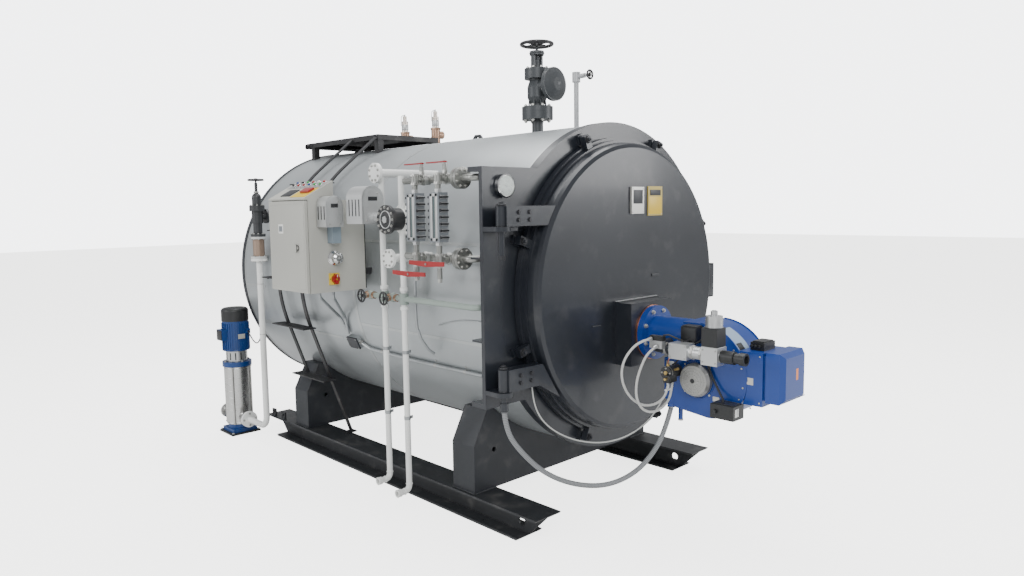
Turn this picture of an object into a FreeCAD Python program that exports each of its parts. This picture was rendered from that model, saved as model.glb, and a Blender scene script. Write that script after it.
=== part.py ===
import FreeCAD, Part
import math
import os

os.makedirs("parts", exist_ok=True)
V = FreeCAD.Vector
X, Y, Z = V(1, 0, 0), V(0, 1, 0), V(0, 0, 1)

# A horizontal fire-tube steam boiler on two skids, in millimetres. +Z is up, the burner door faces -Y,
# and the instrument side faces -X. The origin is on the ground, midway between the four anchor holes.

# ---- driving dimensions ----
ring_r = 1000.0            # front ring, outside
shell_r = 991.0            # cladding, outside
shell_wall = 90.0          # cladding, insulation and pressure shell together
shell_len = 3032.0         # from the back of the ring to the rear cover
axis_z = 1375.0            # height of the boiler's axis
ring_t = 60.0
ring_hole_r = 790.0
anchor_pitch_y = 2200.0    # anchor holes along a skid
anchor_front = 350.0       # first anchor hole, behind the ring's front face
anchor_r = 11.0
seat = 0.3                 # clearance where one piece rests against another's curved face
swing_gap = 8.0            # clearance of pieces that move past each other

ring_y = -(anchor_front + anchor_pitch_y / 2)


def back(distance):
    """A station along the boiler, counted from the ring's front face towards the rear."""
    return ring_y + distance


# ---- shape helpers ----
def box(x0, x1, y0, y1, z0, z1):
    return Part.makeBox(x1 - x0, y1 - y0, z1 - z0, V(x0, y0, z0))


def rod(centre, direction, radius, length):
    return Part.makeCylinder(radius, length, V(*centre), direction)


def tube(centre, direction, outer_r, inner_r, length):
    return rod(centre, direction, outer_r, length).cut(rod(centre, direction, inner_r, length))


def plate(points, direction, thickness):
    """A flat plate: the outline's corners in space, thickened along direction."""
    corners = [V(*p) for p in points]
    face = Part.Face(Part.makePolygon(corners + corners[:1]))
    return face.extrude(direction * thickness)


def fuse(*shapes):
    joined = shapes[0]
    for shape in shapes[1:]:
        joined = joined.fuse(shape)
    return joined.removeSplitter()


def turned(profile, centre, direction, start):
    """Revolves (radius, distance along the axis) points; start points across the axis at zero angle."""
    points = [V(*centre) + start * r + direction * d for r, d in profile]
    face = Part.Face(Part.makePolygon(points + points[:1]))
    return face.revolve(V(*centre), direction, 360)


def path_wire(points, radii):
    """Straight runs between the points, joined by tangent arcs of the given radii."""
    points = [V(*p) for p in points]
    edges = []
    begin = points[0]
    for i in range(1, len(points) - 1):
        into = (points[i] - points[i - 1]).normalize()
        out = (points[i + 1] - points[i]).normalize()
        turn = into.getAngle(out)
        setback = radii[i - 1] * math.tan(turn / 2)
        start, end = points[i] - into * setback, points[i] + out * setback
        inward = (out - into).normalize()
        centre = points[i] + inward * (radii[i - 1] / math.cos(turn / 2))
        middle = centre - inward * radii[i - 1]
        edges += [Part.LineSegment(begin, start).toShape(), Part.Arc(start, middle, end).toShape()]
        begin = end
    edges.append(Part.LineSegment(begin, points[-1]).toShape())
    return Part.Wire(edges)


def bent(points, bend_r, outer_r, inner_r=0.0):
    """A pipe or bar along straight runs with equal bends."""
    wire = path_wire(points, [bend_r] * (len(points) - 2))
    first, second = V(*points[0]), V(*points[1])
    axis = (second - first).normalize()

    def sweep(radius):
        ring = Part.Wire(Part.makeCircle(radius, first, axis))
        return wire.makePipeShell([ring], True, False)

    return sweep(outer_r).cut(sweep(inner_r)) if inner_r else sweep(outer_r)


def cord(name, points, radius):
    """A hanging cord: every bend as large as its two runs allow. Prints its length and bend radii."""
    runs = [(V(*b) - V(*a)) for a, b in zip(points, points[1:])]
    radii = []
    for one, other in zip(runs, runs[1:]):
        shorter = min(one.Length, other.Length)
        radii.append(0.45 * shorter / math.tan(one.getAngle(other) / 2))
    wire = path_wire(points, radii)
    ring = Part.Wire(Part.makeCircle(radius, V(*points[0]), runs[0]))
    solid = wire.makePipeShell([ring], True, False)
    print(name, "length", round(wire.Length), "tightest bend", round(min(radii)), "wanted", round(10 * radius),
          "volume ratio", round(solid.Volume / (math.pi * radius ** 2 * wire.Length), 4))
    save(name, solid)


def off_shell(shape):
    """Trims a piece so that it stands on the cladding."""
    body = rod((0, back(-200), axis_z), Y, shell_r + seat, shell_len + 600)
    return shape.cut(body)


def flange_bolts(centre, direction, start, pitch_r, hole_r, count, depth):
    """Through holes on a pitch circle."""
    holes = []
    for i in range(count):
        turn = FreeCAD.Rotation(direction, 360.0 * (i + 0.5) / count)
        at = V(*centre) + turn.multVec(start) * pitch_r
        holes.append(rod(at, direction, hole_r, depth))
    return holes


def handwheel(centre, direction, start, wheel_r, rim_r, hub_r, spokes):
    """A spoked handwheel with its hub's middle at centre."""
    circle = Part.Face(Part.Wire(Part.makeCircle(rim_r, V(*centre) + start * (wheel_r - rim_r),
                                                 direction.cross(start))))
    wheel = circle.revolve(V(*centre), direction, 360)
    hub_len = rim_r * 2.4
    parts = [rod(V(*centre) - direction * hub_len / 2, direction, hub_r, hub_len)]
    for i in range(spokes):
        arm = FreeCAD.Rotation(direction, 360.0 * i / spokes).multVec(start)
        parts.append(rod(centre, arm, rim_r * 0.7, wheel_r - rim_r))
    return fuse(wheel, *parts)


def save(name, *solids):
    shape = solids[0] if len(solids) == 1 else Part.makeCompound(list(solids))
    shape.exportStep(f"parts/{name}.step")


# ---- shell, ring, front and rear ----
shell_in_r = shell_r - shell_wall
shell_front = back(ring_t)
shell_back = shell_front + shell_len


def make_shell():
    wall = tube((0, shell_front, axis_z), Y, shell_r, shell_in_r, shell_len)
    save("shell", wall)


# door clamps: a boss on the ring, and a lug with its swing bolt on the door, at these angles from +X
clamp_angles = (22.6, 68.0, 112.0, 160.5, 197.5, 248.0, 292.0)
clamp_w = 46.0
clamp_lug = (872.0, 966.0)     # radial reach of a door lug
clamp_boss = (918.0, 976.0)    # radial reach of a ring boss
clamp_lug_out = (26.0, 66.0)

hinge_x, hinge_y = -1070.0, back(-88.0)
hinge_plate_x = -1119.5
hinge_plate_t = 25.0
hinge_plate_z = (808.0, 2082.0)
hinge_lip = 110.0
hinge_pin_r = 16.0
lug_t = 24.0
arm_z = ((1772.0, 1876.0), (912.0, 1030.0))    # upper and lower hinge arm, bottom and top
pin_gap = 0.5


def at_angle(shape, angle):
    """Swings a piece built about X = radius, Z = width round the boiler's axis to its clamp angle."""
    shape.Placement = FreeCAD.Placement(V(0, 0, axis_z), FreeCAD.Rotation(Y, -angle)).multiply(shape.Placement)
    return shape


def make_front_ring():
    ring = tube((0, back(0), axis_z), Y, ring_r, ring_hole_r, ring_t)
    half = clamp_w / 2
    bosses = [at_angle(box(*clamp_boss, back(swing_gap - clamp_lug_out[0]), back(1), -half, half), angle)
              for angle in clamp_angles]
    save("front_ring", fuse(ring, *bosses))


def make_hinge_plate():
    low, high = hinge_plate_z
    rise_low, rise_high = axis_z - low, high - axis_z
    clear_r = ring_r + seat
    inner_low = -math.sqrt(clear_r ** 2 - rise_low ** 2)
    inner_high = -math.sqrt(clear_r ** 2 - rise_high ** 2)
    front = box(hinge_plate_x, inner_high + 60, back(0), back(hinge_plate_t), low, high)
    lip_high = box(hinge_plate_x, inner_high, back(hinge_plate_t), back(hinge_lip), high - hinge_plate_t, high)
    lip_low = box(hinge_plate_x, inner_low, back(hinge_plate_t), back(hinge_lip), low, low + hinge_plate_t)
    body = fuse(front, lip_high, lip_low).cut(rod((0, back(-1), axis_z), Y, clear_r, ring_t + 1 + seat))
    body = off_shell(body)
    for bottom, _ in arm_z:
        tongue = box(hinge_x - 49, hinge_x + 120, hinge_y, back(0), bottom - pin_gap - lug_t, bottom - pin_gap)
        nose = rod((hinge_x, hinge_y, bottom - pin_gap - lug_t), Z, 49, lug_t)
        hole = rod((hinge_x, hinge_y, bottom - lug_t - 5), Z, hinge_pin_r + 0.05, lug_t + 10)
        body = fuse(body, tongue, nose).cut(hole)
    save("hinge_plate", body)


tube_plate_at = 190.0      # front tube plate, behind the ring's front face
tube_plate_t = 30.0
furnace_r = 390.0
furnace_wall = 16.0
furnace_len = 2350.0
burner_z = 1115.0


def make_furnace():
    plate_r = shell_in_r - seat
    disc = rod((0, back(tube_plate_at), axis_z), Y, plate_r, tube_plate_t)
    flue = rod((0, back(tube_plate_at), burner_z), Y, furnace_r, furnace_len)
    inside_r, inside_len = furnace_r - furnace_wall, furnace_len - furnace_wall + 1
    bore = rod((0, back(tube_plate_at) - 1, burner_z), Y, inside_r, inside_len)
    save("furnace", fuse(disc, flue).cut(bore))


rear_cover_t = 40.0
rear_box_r = 760.0
rear_box_len = 150.0
flue_z = 1790.0
flue_r = 200.0
flue_wall = 8.0
flue_flange_r = 255.0
flue_flange_t = 14.0
flue_len = 130.0
flue_pitch_r = 232.0
flue_hole_r = 7.0


def make_rear():
    cover = rod((0, shell_back, axis_z), Y, shell_r + 6, rear_cover_t)
    hood = rod((0, shell_back + rear_cover_t, axis_z), Y, rear_box_r, rear_box_len)
    duct_bore = rod((0, shell_back - 1, flue_z), Y, flue_r - flue_wall, rear_cover_t + rear_box_len + 2)
    face = shell_back + rear_cover_t + rear_box_len
    neck = rod((0, face, flue_z), Y, flue_r, flue_len)
    flange = rod((0, face + flue_len - flue_flange_t, flue_z), Y, flue_flange_r, flue_flange_t)
    duct = fuse(neck, flange).cut(rod((0, face - 1, flue_z), Y, flue_r - flue_wall, flue_len + 2))
    for hole in flange_bolts((0, face + flue_len - flue_flange_t - 1, flue_z), Y, X, flue_pitch_r,
                             flue_hole_r, 8, flue_flange_t + 2):
        duct = duct.cut(hole)
    save("rear_cover", cover.cut(duct_bore), hood.cut(duct_bore), duct)


# ---- skids and saddles ----
skid_x = (676.5, 878.0)    # inner and outer edge of a skid's flanges
skid_h = 159.5
skid_flange_t = 14.0
skid_web_t = 12.0
skid_front_low, skid_front_high = 35.0, -128.0
skid_rear_low, skid_rear_high = 2861.0, 3024.0
skid_eye_r = 26.0
anchor_off = 55.0          # anchor holes, outward from the web
skid_lug_y = (2735.0, 2895.0)
skid_lug_w, skid_lug_h = 56.0, 60.0
saddle_at = (407.0, 2381.0)
saddle_len = 200.0
saddle_plate_t = 14.0
saddle_x = 852.0
saddle_shoulder_z = 450.0
saddle_top = (745.0, 655.0)
saddle_hole_x, saddle_hole_z, saddle_hole_r = 690.0, 400.0, 16.0


def make_skids():
    solids = []
    inner, outer = skid_x
    for side in (-1, 1):
        x0, x1 = sorted((side * inner, side * outer))
        middle = side * (inner + outer) / 2
        outline = [(x0, back(skid_front_low), 0), (x0, back(skid_front_high), skid_h),
                   (x0, back(skid_rear_high), skid_h), (x0, back(skid_rear_low), 0)]
        beam = plate(outline, X, x1 - x0)
        half = (x1 - x0 - skid_web_t) / 2
        for x in (x0, x1 - half):
            beam = beam.cut(box(x, x + half, back(skid_front_high) - 1, back(skid_rear_high) + 1,
                                skid_flange_t, skid_h - skid_flange_t))
        beam = beam.cut(rod((x0, back(80), 72), X, skid_eye_r, x1 - x0))
        for y in skid_lug_y:
            lug = box(x0 + 6, x0 + 18, back(y), back(y) + skid_lug_w, skid_h - 1, skid_h + skid_lug_h)
            lug = lug.cut(rod((x0, back(y) + skid_lug_w / 2, skid_h + skid_lug_h / 2 + 6), X, 11, 30))
            beam = fuse(beam, lug)
        for y in (anchor_front, anchor_front + anchor_pitch_y):
            beam = beam.cut(rod((middle + side * anchor_off, back(y), -1), Z, anchor_r, skid_flange_t + 2))
        solids.append(beam)
    save("skids", *solids)


def make_saddles():
    solids = []
    for y in saddle_at:
        half = [(saddle_x, skid_h), (saddle_x, saddle_shoulder_z), saddle_top]
        outline = [(-x, back(y), z) for x, z in half] + [(x, back(y), z) for x, z in reversed(half)]
        block = off_shell(plate(outline, Y, saddle_len))
        rim = Part.Face(Part.makePolygon([V(*p) for p in outline + outline[:1]]))
        face = rim.makeOffset2D(-saddle_plate_t, 2)
        inside = face.extrude(Y * (saddle_len - 2 * saddle_plate_t))
        inside.translate(Y * saddle_plate_t)
        inside = inside.cut(rod((0, back(y), axis_z), Y, shell_r + saddle_plate_t, saddle_len))
        block = block.cut(inside)
        for side in (-1, 1):
            block = block.cut(rod((side * saddle_hole_x, back(y) - 1, saddle_hole_z), Y, saddle_hole_r,
                                  saddle_plate_t + 2))
        solids.append(block)
    save("saddles", *solids)


# ---- platform and ladder ----
platform_x = (-350.0, 250.0)
platform_y = (2040.0, 3130.0)
platform_z = 2450.0        # top of the tread plate
platform_plate_t = 6.0
platform_rim = 40.0
platform_tube_r = 21.0
leg_w = 50.0
ladder_y = (2060.0, 2400.0)    # the two stringers; the second ends on the rear saddle
stringer_w = 40.0
stringer_t = 10.0
ladder_r = shell_r + 45.0
ladder_foot = (-664.0, skid_h)
tread_z = (600.0, 1010.0, 1370.0, 1720.0, 2065.0)
tread_y = (1985.0, 2465.0)
tread_t = 8.0
tread_depth = 105.0


def make_platform():
    x0, x1 = platform_x
    y0, y1 = back(platform_y[0]), back(platform_y[1])
    low = platform_z - platform_rim
    tray = box(x0, x1, y0, y1, low, platform_z)
    t = platform_plate_t
    tray = tray.cut(box(x0 + t, x1 - t, y0 + t, y1 - t, low - 1, platform_z - t))
    rail_y = y1 - platform_tube_r - t
    rail_z = platform_z - t - platform_tube_r
    rail = rod((x0 - 22, rail_y, rail_z), X, platform_tube_r, x1 - x0 - 20)
    rail = rail.cut(rod((x0 - 23, rail_y, rail_z), X, platform_tube_r - 3, 60))
    tray = fuse(tray, rail)
    for x in (x0 + t, x1 - t - leg_w):
        for y in (y0 + t, shell_back - leg_w - 30):
            leg = box(x, x + leg_w, y, y + leg_w, axis_z, platform_z - t)
            tray = fuse(tray, off_shell(leg))
    save("platform", tray)


def ladder_line_x(z):
    """The stringers' middle line below the point where they leave the shell's curve."""
    foot_x, foot_z = ladder_foot
    return foot_x - (z - foot_z) * ladder_slope


# The foot's direction from the axis, and the angle (from the top, towards -X) where the straight leg is tangent
foot_dx, foot_dz = -ladder_foot[0], axis_z - ladder_foot[1]
foot_reach = math.hypot(foot_dx, foot_dz)
stringer_mid_r = ladder_r + stringer_t / 2
ladder_low = math.pi - math.atan2(foot_dx, foot_dz) - math.acos(stringer_mid_r / foot_reach)
ladder_slope = math.tan(ladder_low - math.pi / 2)
top_dx, top_dz = -platform_x[0] + 8, platform_z - 25 - axis_z
ladder_high = math.atan2(top_dx, top_dz) + math.acos(stringer_mid_r / math.hypot(top_dx, top_dz))


def around(angle, radius):
    """A point in the plane across the boiler, at an angle from the top towards -X."""
    return -radius * math.sin(angle), axis_z + radius * math.cos(angle)


def stringer(y, foot):
    """One stringer: a flat bar down to foot, round the shell and up to the platform."""
    def section(radius):
        middle = (ladder_high + ladder_low) / 2
        return around(ladder_high, radius), around(middle, radius), around(ladder_low, radius)

    inner, outer = section(ladder_r), section(ladder_r + stringer_t)
    top = (-top_dx, axis_z + top_dz)
    up = (math.cos(ladder_high), math.sin(ladder_high))
    down = (-math.cos(ladder_low), -math.sin(ladder_low))
    half = stringer_t / 2
    top_in = (top[0] + up[1] * half, top[1] - up[0] * half)
    top_out = (top[0] - up[1] * half, top[1] + up[0] * half)
    foot_in = (foot[0] - down[1] * half, foot[1] + down[0] * half)
    foot_out = (foot[0] + down[1] * half, foot[1] - down[0] * half)

    def at(point):
        return V(point[0], y, point[1])

    edges = [Part.LineSegment(at(top_in), at(inner[0])).toShape(),
             Part.Arc(*[at(p) for p in inner]).toShape(),
             Part.LineSegment(at(inner[2]), at(foot_in)).toShape(),
             Part.LineSegment(at(foot_in), at(foot_out)).toShape(),
             Part.LineSegment(at(foot_out), at(outer[2])).toShape(),
             Part.Arc(*[at(p) for p in reversed(outer)]).toShape(),
             Part.LineSegment(at(outer[0]), at(top_out)).toShape(),
             Part.LineSegment(at(top_out), at(top_in)).toShape()]
    return Part.Face(Part.Wire(edges)).extrude(Y * stringer_w)


def make_ladder():
    foot_x, foot_z = ladder_foot
    shoulder = (saddle_x - saddle_top[0]) / (saddle_top[1] - saddle_shoulder_z)
    rest_z = (saddle_x - foot_dx + shoulder * saddle_shoulder_z + ladder_slope * foot_z) / (shoulder + ladder_slope)
    long_one = stringer(back(ladder_y[0]) - stringer_w / 2, (foot_x, foot_z + seat))
    short_one = stringer(back(ladder_y[1]) - stringer_w / 2, (ladder_line_x(rest_z - 40), rest_z - 40))
    wedge = plate([(-x, back(saddle_at[1]) - 40, z) for x, z in
                   ((saddle_x + seat, 0), (saddle_x + seat, saddle_shoulder_z + seat),
                    (saddle_top[0] + seat, saddle_top[1] + seat), (0, saddle_top[1] + seat), (0, 0))],
                  Y, saddle_len)
    ladder = fuse(long_one.cut(box(-900, 0, back(1900), back(2200), 0, skid_h)), short_one.cut(wedge))
    for z in tread_z:
        rise = (z - axis_z) / stringer_mid_r
        angle = math.acos(max(-1.0, min(1.0, rise)))
        x = ladder_line_x(z) if angle > ladder_low else -stringer_mid_r * math.sin(angle)
        step = box(x - tread_depth, x, back(tread_y[0]), back(tread_y[1]), z, z + tread_t)
        ladder = fuse(ladder, step)
    save("ladder", ladder)


# ---- steam valve, vent and safety valves on top ----
steam_y = 667.0
steam_neck_r = 38.0
steam_flange_r = 104.0
steam_flange_z = (2452.0, 2494.0)
flange_joint = 0.3         # gap between two bolted flanges
valve_body_top = 2722.0
valve_z = 2670.0           # outlet's height
valve_r = 56.0
outlet_r = 109.0
outlet_y = 505.0           # face of the outlet flange
outlet_flange_t = 26.0
bonnet_r, bonnet_z = 84.0, (2722.0, 2788.0)
yoke_top = 2902.0
steam_wheel_z, steam_wheel_r = 2948.0, 114.0
stem_r = 9.0
wheel_gap = 0.05           # running clearance of a handwheel's hub on its stem
vent_y = 323.0
vent_r = 16.0
vent_top = 2690.0
vent_wheel_r = 32.0
safety_x = 320.0
safety_y = (2160.0, 2590.0)
safety_r = 38.0
safety_outlet_r = 24.0
safety_reach = 72.0
lug_y = (1270.0, 2860.0)   # lifting lugs on the crest
lug_half, lug_rise, lug_plate_t, lug_hole_r = 50.0, 36.0, 16.0, 18.0


def make_steam_valve():
    y = back(steam_y)
    low, high = steam_flange_z
    neck = off_shell(rod((0, y, axis_z), Z, steam_neck_r, low - axis_z + 1))
    nozzle = fuse(neck, rod((0, y, low), Z, steam_flange_r, high - low))
    bore = rod((0, y, axis_z + shell_r - 40), Z, steam_neck_r - 6, high)
    nozzle = nozzle.cut(bore)
    base = high + flange_joint
    belly = [(0, base), (valve_r - 8, base), (valve_r - 8, base + 60), (valve_r + 10, base + 104),
             (valve_r + 10, valve_z - 4), (valve_r - 4, valve_body_top - 12), (valve_r - 4, valve_body_top + 4),
             (0, valve_body_top + 4)]
    body = fuse(rod((0, y, base), Z, steam_flange_r, 43), turned(belly, (0, y, 0), Z, X),
                rod((0, back(outlet_y), valve_z), Y, valve_r - 10, steam_y - outlet_y),
                rod((0, back(outlet_y), valve_z), Y, outlet_r, outlet_flange_t))
    body = fuse(body, rod((0, y, bonnet_z[0] - 2), Z, bonnet_r, bonnet_z[1] - bonnet_z[0] + 2))
    for side in (-1, 1):
        body = fuse(body, box(min(side * 28, side * 44), max(side * 28, side * 44), y - 14, y + 14,
                              bonnet_z[1] - 1, yoke_top))
    body = fuse(body, rod((0, y, yoke_top - 26), Z, 48, 26), rod((0, y, bonnet_z[1] - 1), Z, 16, 60),
                rod((0, y, bonnet_z[1]), Z, stem_r, steam_wheel_z + 26 - bonnet_z[1]))
    dome = turned([(0, -38), (12, -38), (44, -31), (76, -16), (outlet_r - 6, 0), (0, 0)], (0, back(outlet_y) - 0.5, valve_z),
                  Y, X)
    cap = fuse(dome, rod((0, back(outlet_y) - 1, valve_z), Y, outlet_r - 6, 0.7))
    save("steam_valve", nozzle, body, cap)
    wheel = handwheel((0, y, steam_wheel_z), Z, X, steam_wheel_r, 11, 24, 4)
    save("steam_handwheel", wheel.cut(rod((0, y, steam_wheel_z - 50), Z, stem_r + wheel_gap, 100)))


def make_vent():
    y = back(vent_y)
    pipe = off_shell(rod((0, y, axis_z), Z, vent_r, vent_top - axis_z))
    head = fuse(rod((0, y, vent_top - 34), Z, 26, 62), rod((0, y - 74, vent_top), Y, 15, 74))
    stem = rod((0, y - 128, vent_top), Y, 5, 60)
    save("vent_pipe", fuse(pipe, head, stem))
    wheel = handwheel((0, y - 112, vent_top), Y, X, vent_wheel_r, 6, 12, 4)
    save("vent_handwheel", wheel.cut(rod((0, y - 150, vent_top), Y, 5 + wheel_gap, 100)))


def make_safety_valves():
    solids = []
    for distance in safety_y:
        y = back(distance)
        nozzle = off_shell(rod((safety_x, y, axis_z), Z, 24, 2370 - axis_z))
        solids.append(fuse(nozzle, rod((safety_x, y, 2368), Z, 52, 24), rod((safety_x, y, 2390), Z, safety_r, 150),
                           rod((safety_x, y, 2539), Z, 28, 100), rod((safety_x, y, 2638), Z, 17, 46),
                           rod((safety_x, y, 2490), X, safety_outlet_r + 8, safety_reach))
                      .cut(rod((safety_x + safety_reach - 60, y, 2490), X, safety_outlet_r, 61)))
    save("safety_valves", *solids)


def make_lifting_lugs():
    solids = []
    for distance in lug_y:
        y = back(distance)
        top = axis_z + shell_r + lug_rise
        outline = [(-lug_plate_t / 2, y + dy, z) for dy, z in
                   ((-lug_half, axis_z), (-lug_half, top - 28), (-lug_half + 24, top), (lug_half - 24, top),
                    (lug_half, top - 28), (lug_half, axis_z))]
        lug = off_shell(plate(outline, X, lug_plate_t))
        solids.append(lug.cut(rod((-lug_plate_t, y, top - lug_hole_r - 8), X, lug_hole_r - 6, 2 * lug_plate_t)))
    save("lifting_lugs", *solids)


# ---- control cabinet ----
cabinet_x = (-1467.0, -1050.0)
cabinet_y = (1195.0, 1655.0)
cabinet_z = (1365.0, 1932.0)
cabinet_wall = 3.0
cabinet_door_t = 18.0
console_back_x, console_top_z = -1270.0, 2050.0
cabinet_hinge_r = 6.0
hinge_leaf = 24.0
bracket_w = 40.0
switch_y = 1195.0
sounder_x, sounder_z, sounder_r = -1280.0, 1575.0, 44.0
switch_x, switch_z = -1286.0, 1446.0


def make_cabinet():
    x0, x1 = cabinet_x
    y0, y1 = back(cabinet_y[0]), back(cabinet_y[1])
    z0, z1 = cabinet_z
    w = cabinet_wall
    face_x = x0 + cabinet_door_t + 2
    case = box(face_x, x1, y0, y1, z0, z1).cut(box(face_x - 1, x1 - w, y0 + w, y1 - w, z0 + w, z1 - w))
    console = plate([(x0, y0, z1 - 1), (x0, y0, z1 + 12), (console_back_x, y0, console_top_z),
                     (console_back_x, y0, z1 - 1)], Y, y1 - y0)
    case = fuse(case, console.cut(box(x0 - 1, face_x, y0 - 1, y1 + 1, z1 - 2, z1 + 2)))
    door = box(x0, x0 + cabinet_door_t, y0 + 3, y1 - 3, z0 + 4, z1 - 4)
    door = door.cut(box(x0 + 3, x0 + cabinet_door_t + 1, y0 + 22, y1 - 22, z0 + 24, z1 - 24))
    lock_y = y0 + 100
    lock = rod((x0 - 12, lock_y, 1643), X, 11, 13)
    door = fuse(door, lock, box(x0 - 16, x0 - 11, lock_y - 7, lock_y + 7, 1618, 1662))
    r = cabinet_hinge_r
    hinge = (x0 + 12, y1 + r + 1)
    for z in (z0 + 60, z1 - 120):
        leaf = box(hinge[0], face_x + 14, y1 - 1, y1 + r, z, z + hinge_leaf)
        knuckle = rod((*hinge, z), Z, r, hinge_leaf)
        case = fuse(case, leaf, knuckle, rod((*hinge, z), Z, r / 2, 2 * hinge_leaf + pin_gap))
        top = z + hinge_leaf + pin_gap
        arm = fuse(rod((*hinge, top), Z, r, hinge_leaf), box(x0 + 4, hinge[0], y1 - 4, hinge[1], top,
                                                             top + hinge_leaf))
        door = fuse(door, arm.cut(rod((*hinge, top - 1), Z, r / 2 + wheel_gap, hinge_leaf + 2)))
    save("cabinet_box", case)
    save("cabinet_door", door)
    plates = []
    for z in (z0 + 90, z1 - 130):
        for y in (y0 + 30, y1 - 30 - bracket_w):
            plates.append(off_shell(box(x1 + seat, -700, y, y + bracket_w, z, z + bracket_w)))
    save("cabinet_brackets", *plates)


def make_cabinet_fittings():
    y = back(switch_y) - seat
    sounder = turned([(0, 0), (sounder_r, 0), (sounder_r, -14), (34, -26), (34, -52), (22, -60), (0, -60)],
                     (sounder_x, y, sounder_z), Y, X)
    plate_t = 8.0
    base = box(switch_x - 36, switch_x + 36, y - plate_t, y, switch_z - 36, switch_z + 36)
    stem = rod((switch_x, y - plate_t - 24, switch_z), Y, 8, 26)
    save("cabinet_fittings", sounder, fuse(base, stem))
    knob = fuse(rod((switch_x, y - plate_t - 24, switch_z), Y, 24, 22),
                box(switch_x - 8, switch_x + 8, y - plate_t - 34, y - plate_t - 4, switch_z - 30, switch_z + 30))
    save("main_switch_knob", knob.cut(rod((switch_x, y - 60, switch_z), Y, 8.05, 60)))


# ---- pressure switches and float chamber between cabinet and gauges ----
def arched_housing(x, y, z, width, depth, height):
    """A cast housing: a box with a round-arched top, its middle bottom at (x, y, z)."""
    side = width / 2
    low = box(x - side, x + side, y - depth / 2, y + depth / 2, z, z + height - side)
    return fuse(low, rod((x, y - depth / 2, z + height - side), Y, side, depth))


def make_switch_housings():
    face = back(cabinet_y[0]) - seat
    small = fuse(arched_housing(-1335, face - 62, 1768, 116, 110, 186),
                 box(-1320, -1262, face - 62, face, 1668, 1770))
    small = small.cut(box(-1420, -1200, face, face + 50, 1600, 2000))
    large = arched_housing(-1215, back(935), 1786, 150, 170, 222)
    chamber_x, chamber_y, chamber_z = chamber_at
    link = rod((-1190, back(chamber_y), 1825), Y, 30, 130)
    link = link.cut(rod((chamber_x - 200, back(chamber_y), chamber_z), X, 84 + seat, 400))
    save("switch_housings", small, fuse(large, link))


# ---- level gauges, their headers, levers and drains ----
header_x = -1085.0
header_z = (2030.0, 1597.0)
header_r = 19.0
header_start = (82.0, 112.0)
level_flange_r = 59.0
level_flange_y = (185.0, 229.0)
gauge_x = -1180.0
gauge_y = (283.0, 485.0)
gauge_z = (1690.0, 1955.0)
gauge_w, gauge_d = 82.0, 64.0
cock_r = 13.0
drain_tip = 1476.0
upper_lever_x, upper_lever_z = -1130.0, 2116.0
upper_lever_len = 150.0
lower_lever_x = (-1268.0, -1236.0)
lower_lever_z = (1576.0, 1510.0)
lower_lever_half = 148.0
lever_t = 7.0
lever_stem_r = 6.0
drain_x = -1100.0
drain_y = (925.0, 725.0)
drain_end_z = (197.0, 172.0)
drain_r, drain_bore_r = 18.0, 14.0
drain_reach = 92.0
drain_top = 2062.0
column_flange_x = -1150.0
manifold_z = 1340.0
manifold_r = 17.0
drain_valve_y = (1070.0, 835.0)
drain_wheel_x, drain_wheel_r = -1172.0, 43.0
chamber_at = (drain_x, 725.0, 1810.0)
chamber_r = 66.0


def level_header(z, start, riser):
    """A header behind the gauges, from the shell to the drain column, with a cock branch for each gauge."""
    end_y = back(drain_y[1]) - drain_r - seat
    pipe = bent([(-500, back(start), z), (header_x, back(start), z), (header_x, end_y, z)], 45, header_r)
    y0, y1 = back(level_flange_y[0]), back(level_flange_y[1])
    middle = (y0 + y1) / 2
    pipe = fuse(off_shell(pipe), rod((header_x, y0, z), Y, level_flange_r, middle - y0 - 1.5),
                rod((header_x, middle + 1.5, z), Y, level_flange_r, y1 - middle - 1.5))
    for y in gauge_y:
        branch = bent([(header_x, back(y), z), (gauge_x, back(y), z), (gauge_x, back(y), riser)], 22, cock_r + 3)
        pipe = fuse(pipe, branch, rod((header_x + 4, back(y), z), V(-1, 0, 0), 29, 58),
                    rod((gauge_x, back(y), z - 24), Z, 22, 48))
    return pipe


def make_level_headers():
    low, high = gauge_z
    upper = level_header(header_z[0], header_start[0], high + seat)
    lower = level_header(header_z[1], header_start[1], low - seat)
    for y, lever_x, lever_z in zip(gauge_y, lower_lever_x, lower_lever_z):
        upper = fuse(upper, rod((upper_lever_x, back(y), header_z[0]), Z, lever_stem_r,
                                upper_lever_z + lever_t + 4 - header_z[0]),
                     rod((upper_lever_x, back(y), header_z[0]), Z, 13, upper_lever_z - 8 - header_z[0]))
        tip = rod((gauge_x, back(y), drain_tip), Z, 9, header_z[1] - drain_tip)
        stem = rod((lever_x - lever_t - 4, back(y), lever_z), X, lever_stem_r, gauge_x - lever_x + lever_t + 4)
        boss = rod((lever_x + 8, back(y), lever_z), X, 12, gauge_x - lever_x - 8)
        lower = fuse(lower, tip, stem, boss, rod((gauge_x, back(y), drain_tip + 14), Z, 14, 66))
    save("upper_level_header", upper)
    save("lower_level_header", lower)


def make_level_gauges():
    low, high = gauge_z
    bodies = []
    for y in gauge_y:
        body = box(gauge_x - gauge_d / 2, gauge_x + gauge_d / 2, back(y) - gauge_w / 2, back(y) + gauge_w / 2,
                   low, high)
        slot = box(gauge_x - gauge_d / 2 - 1, gauge_x - gauge_d / 2 + 7, back(y) - 11, back(y) + 11,
                   low + 22, high - 22)
        bodies.append(body.cut(slot))
    save("level_gauges", *bodies)


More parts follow.
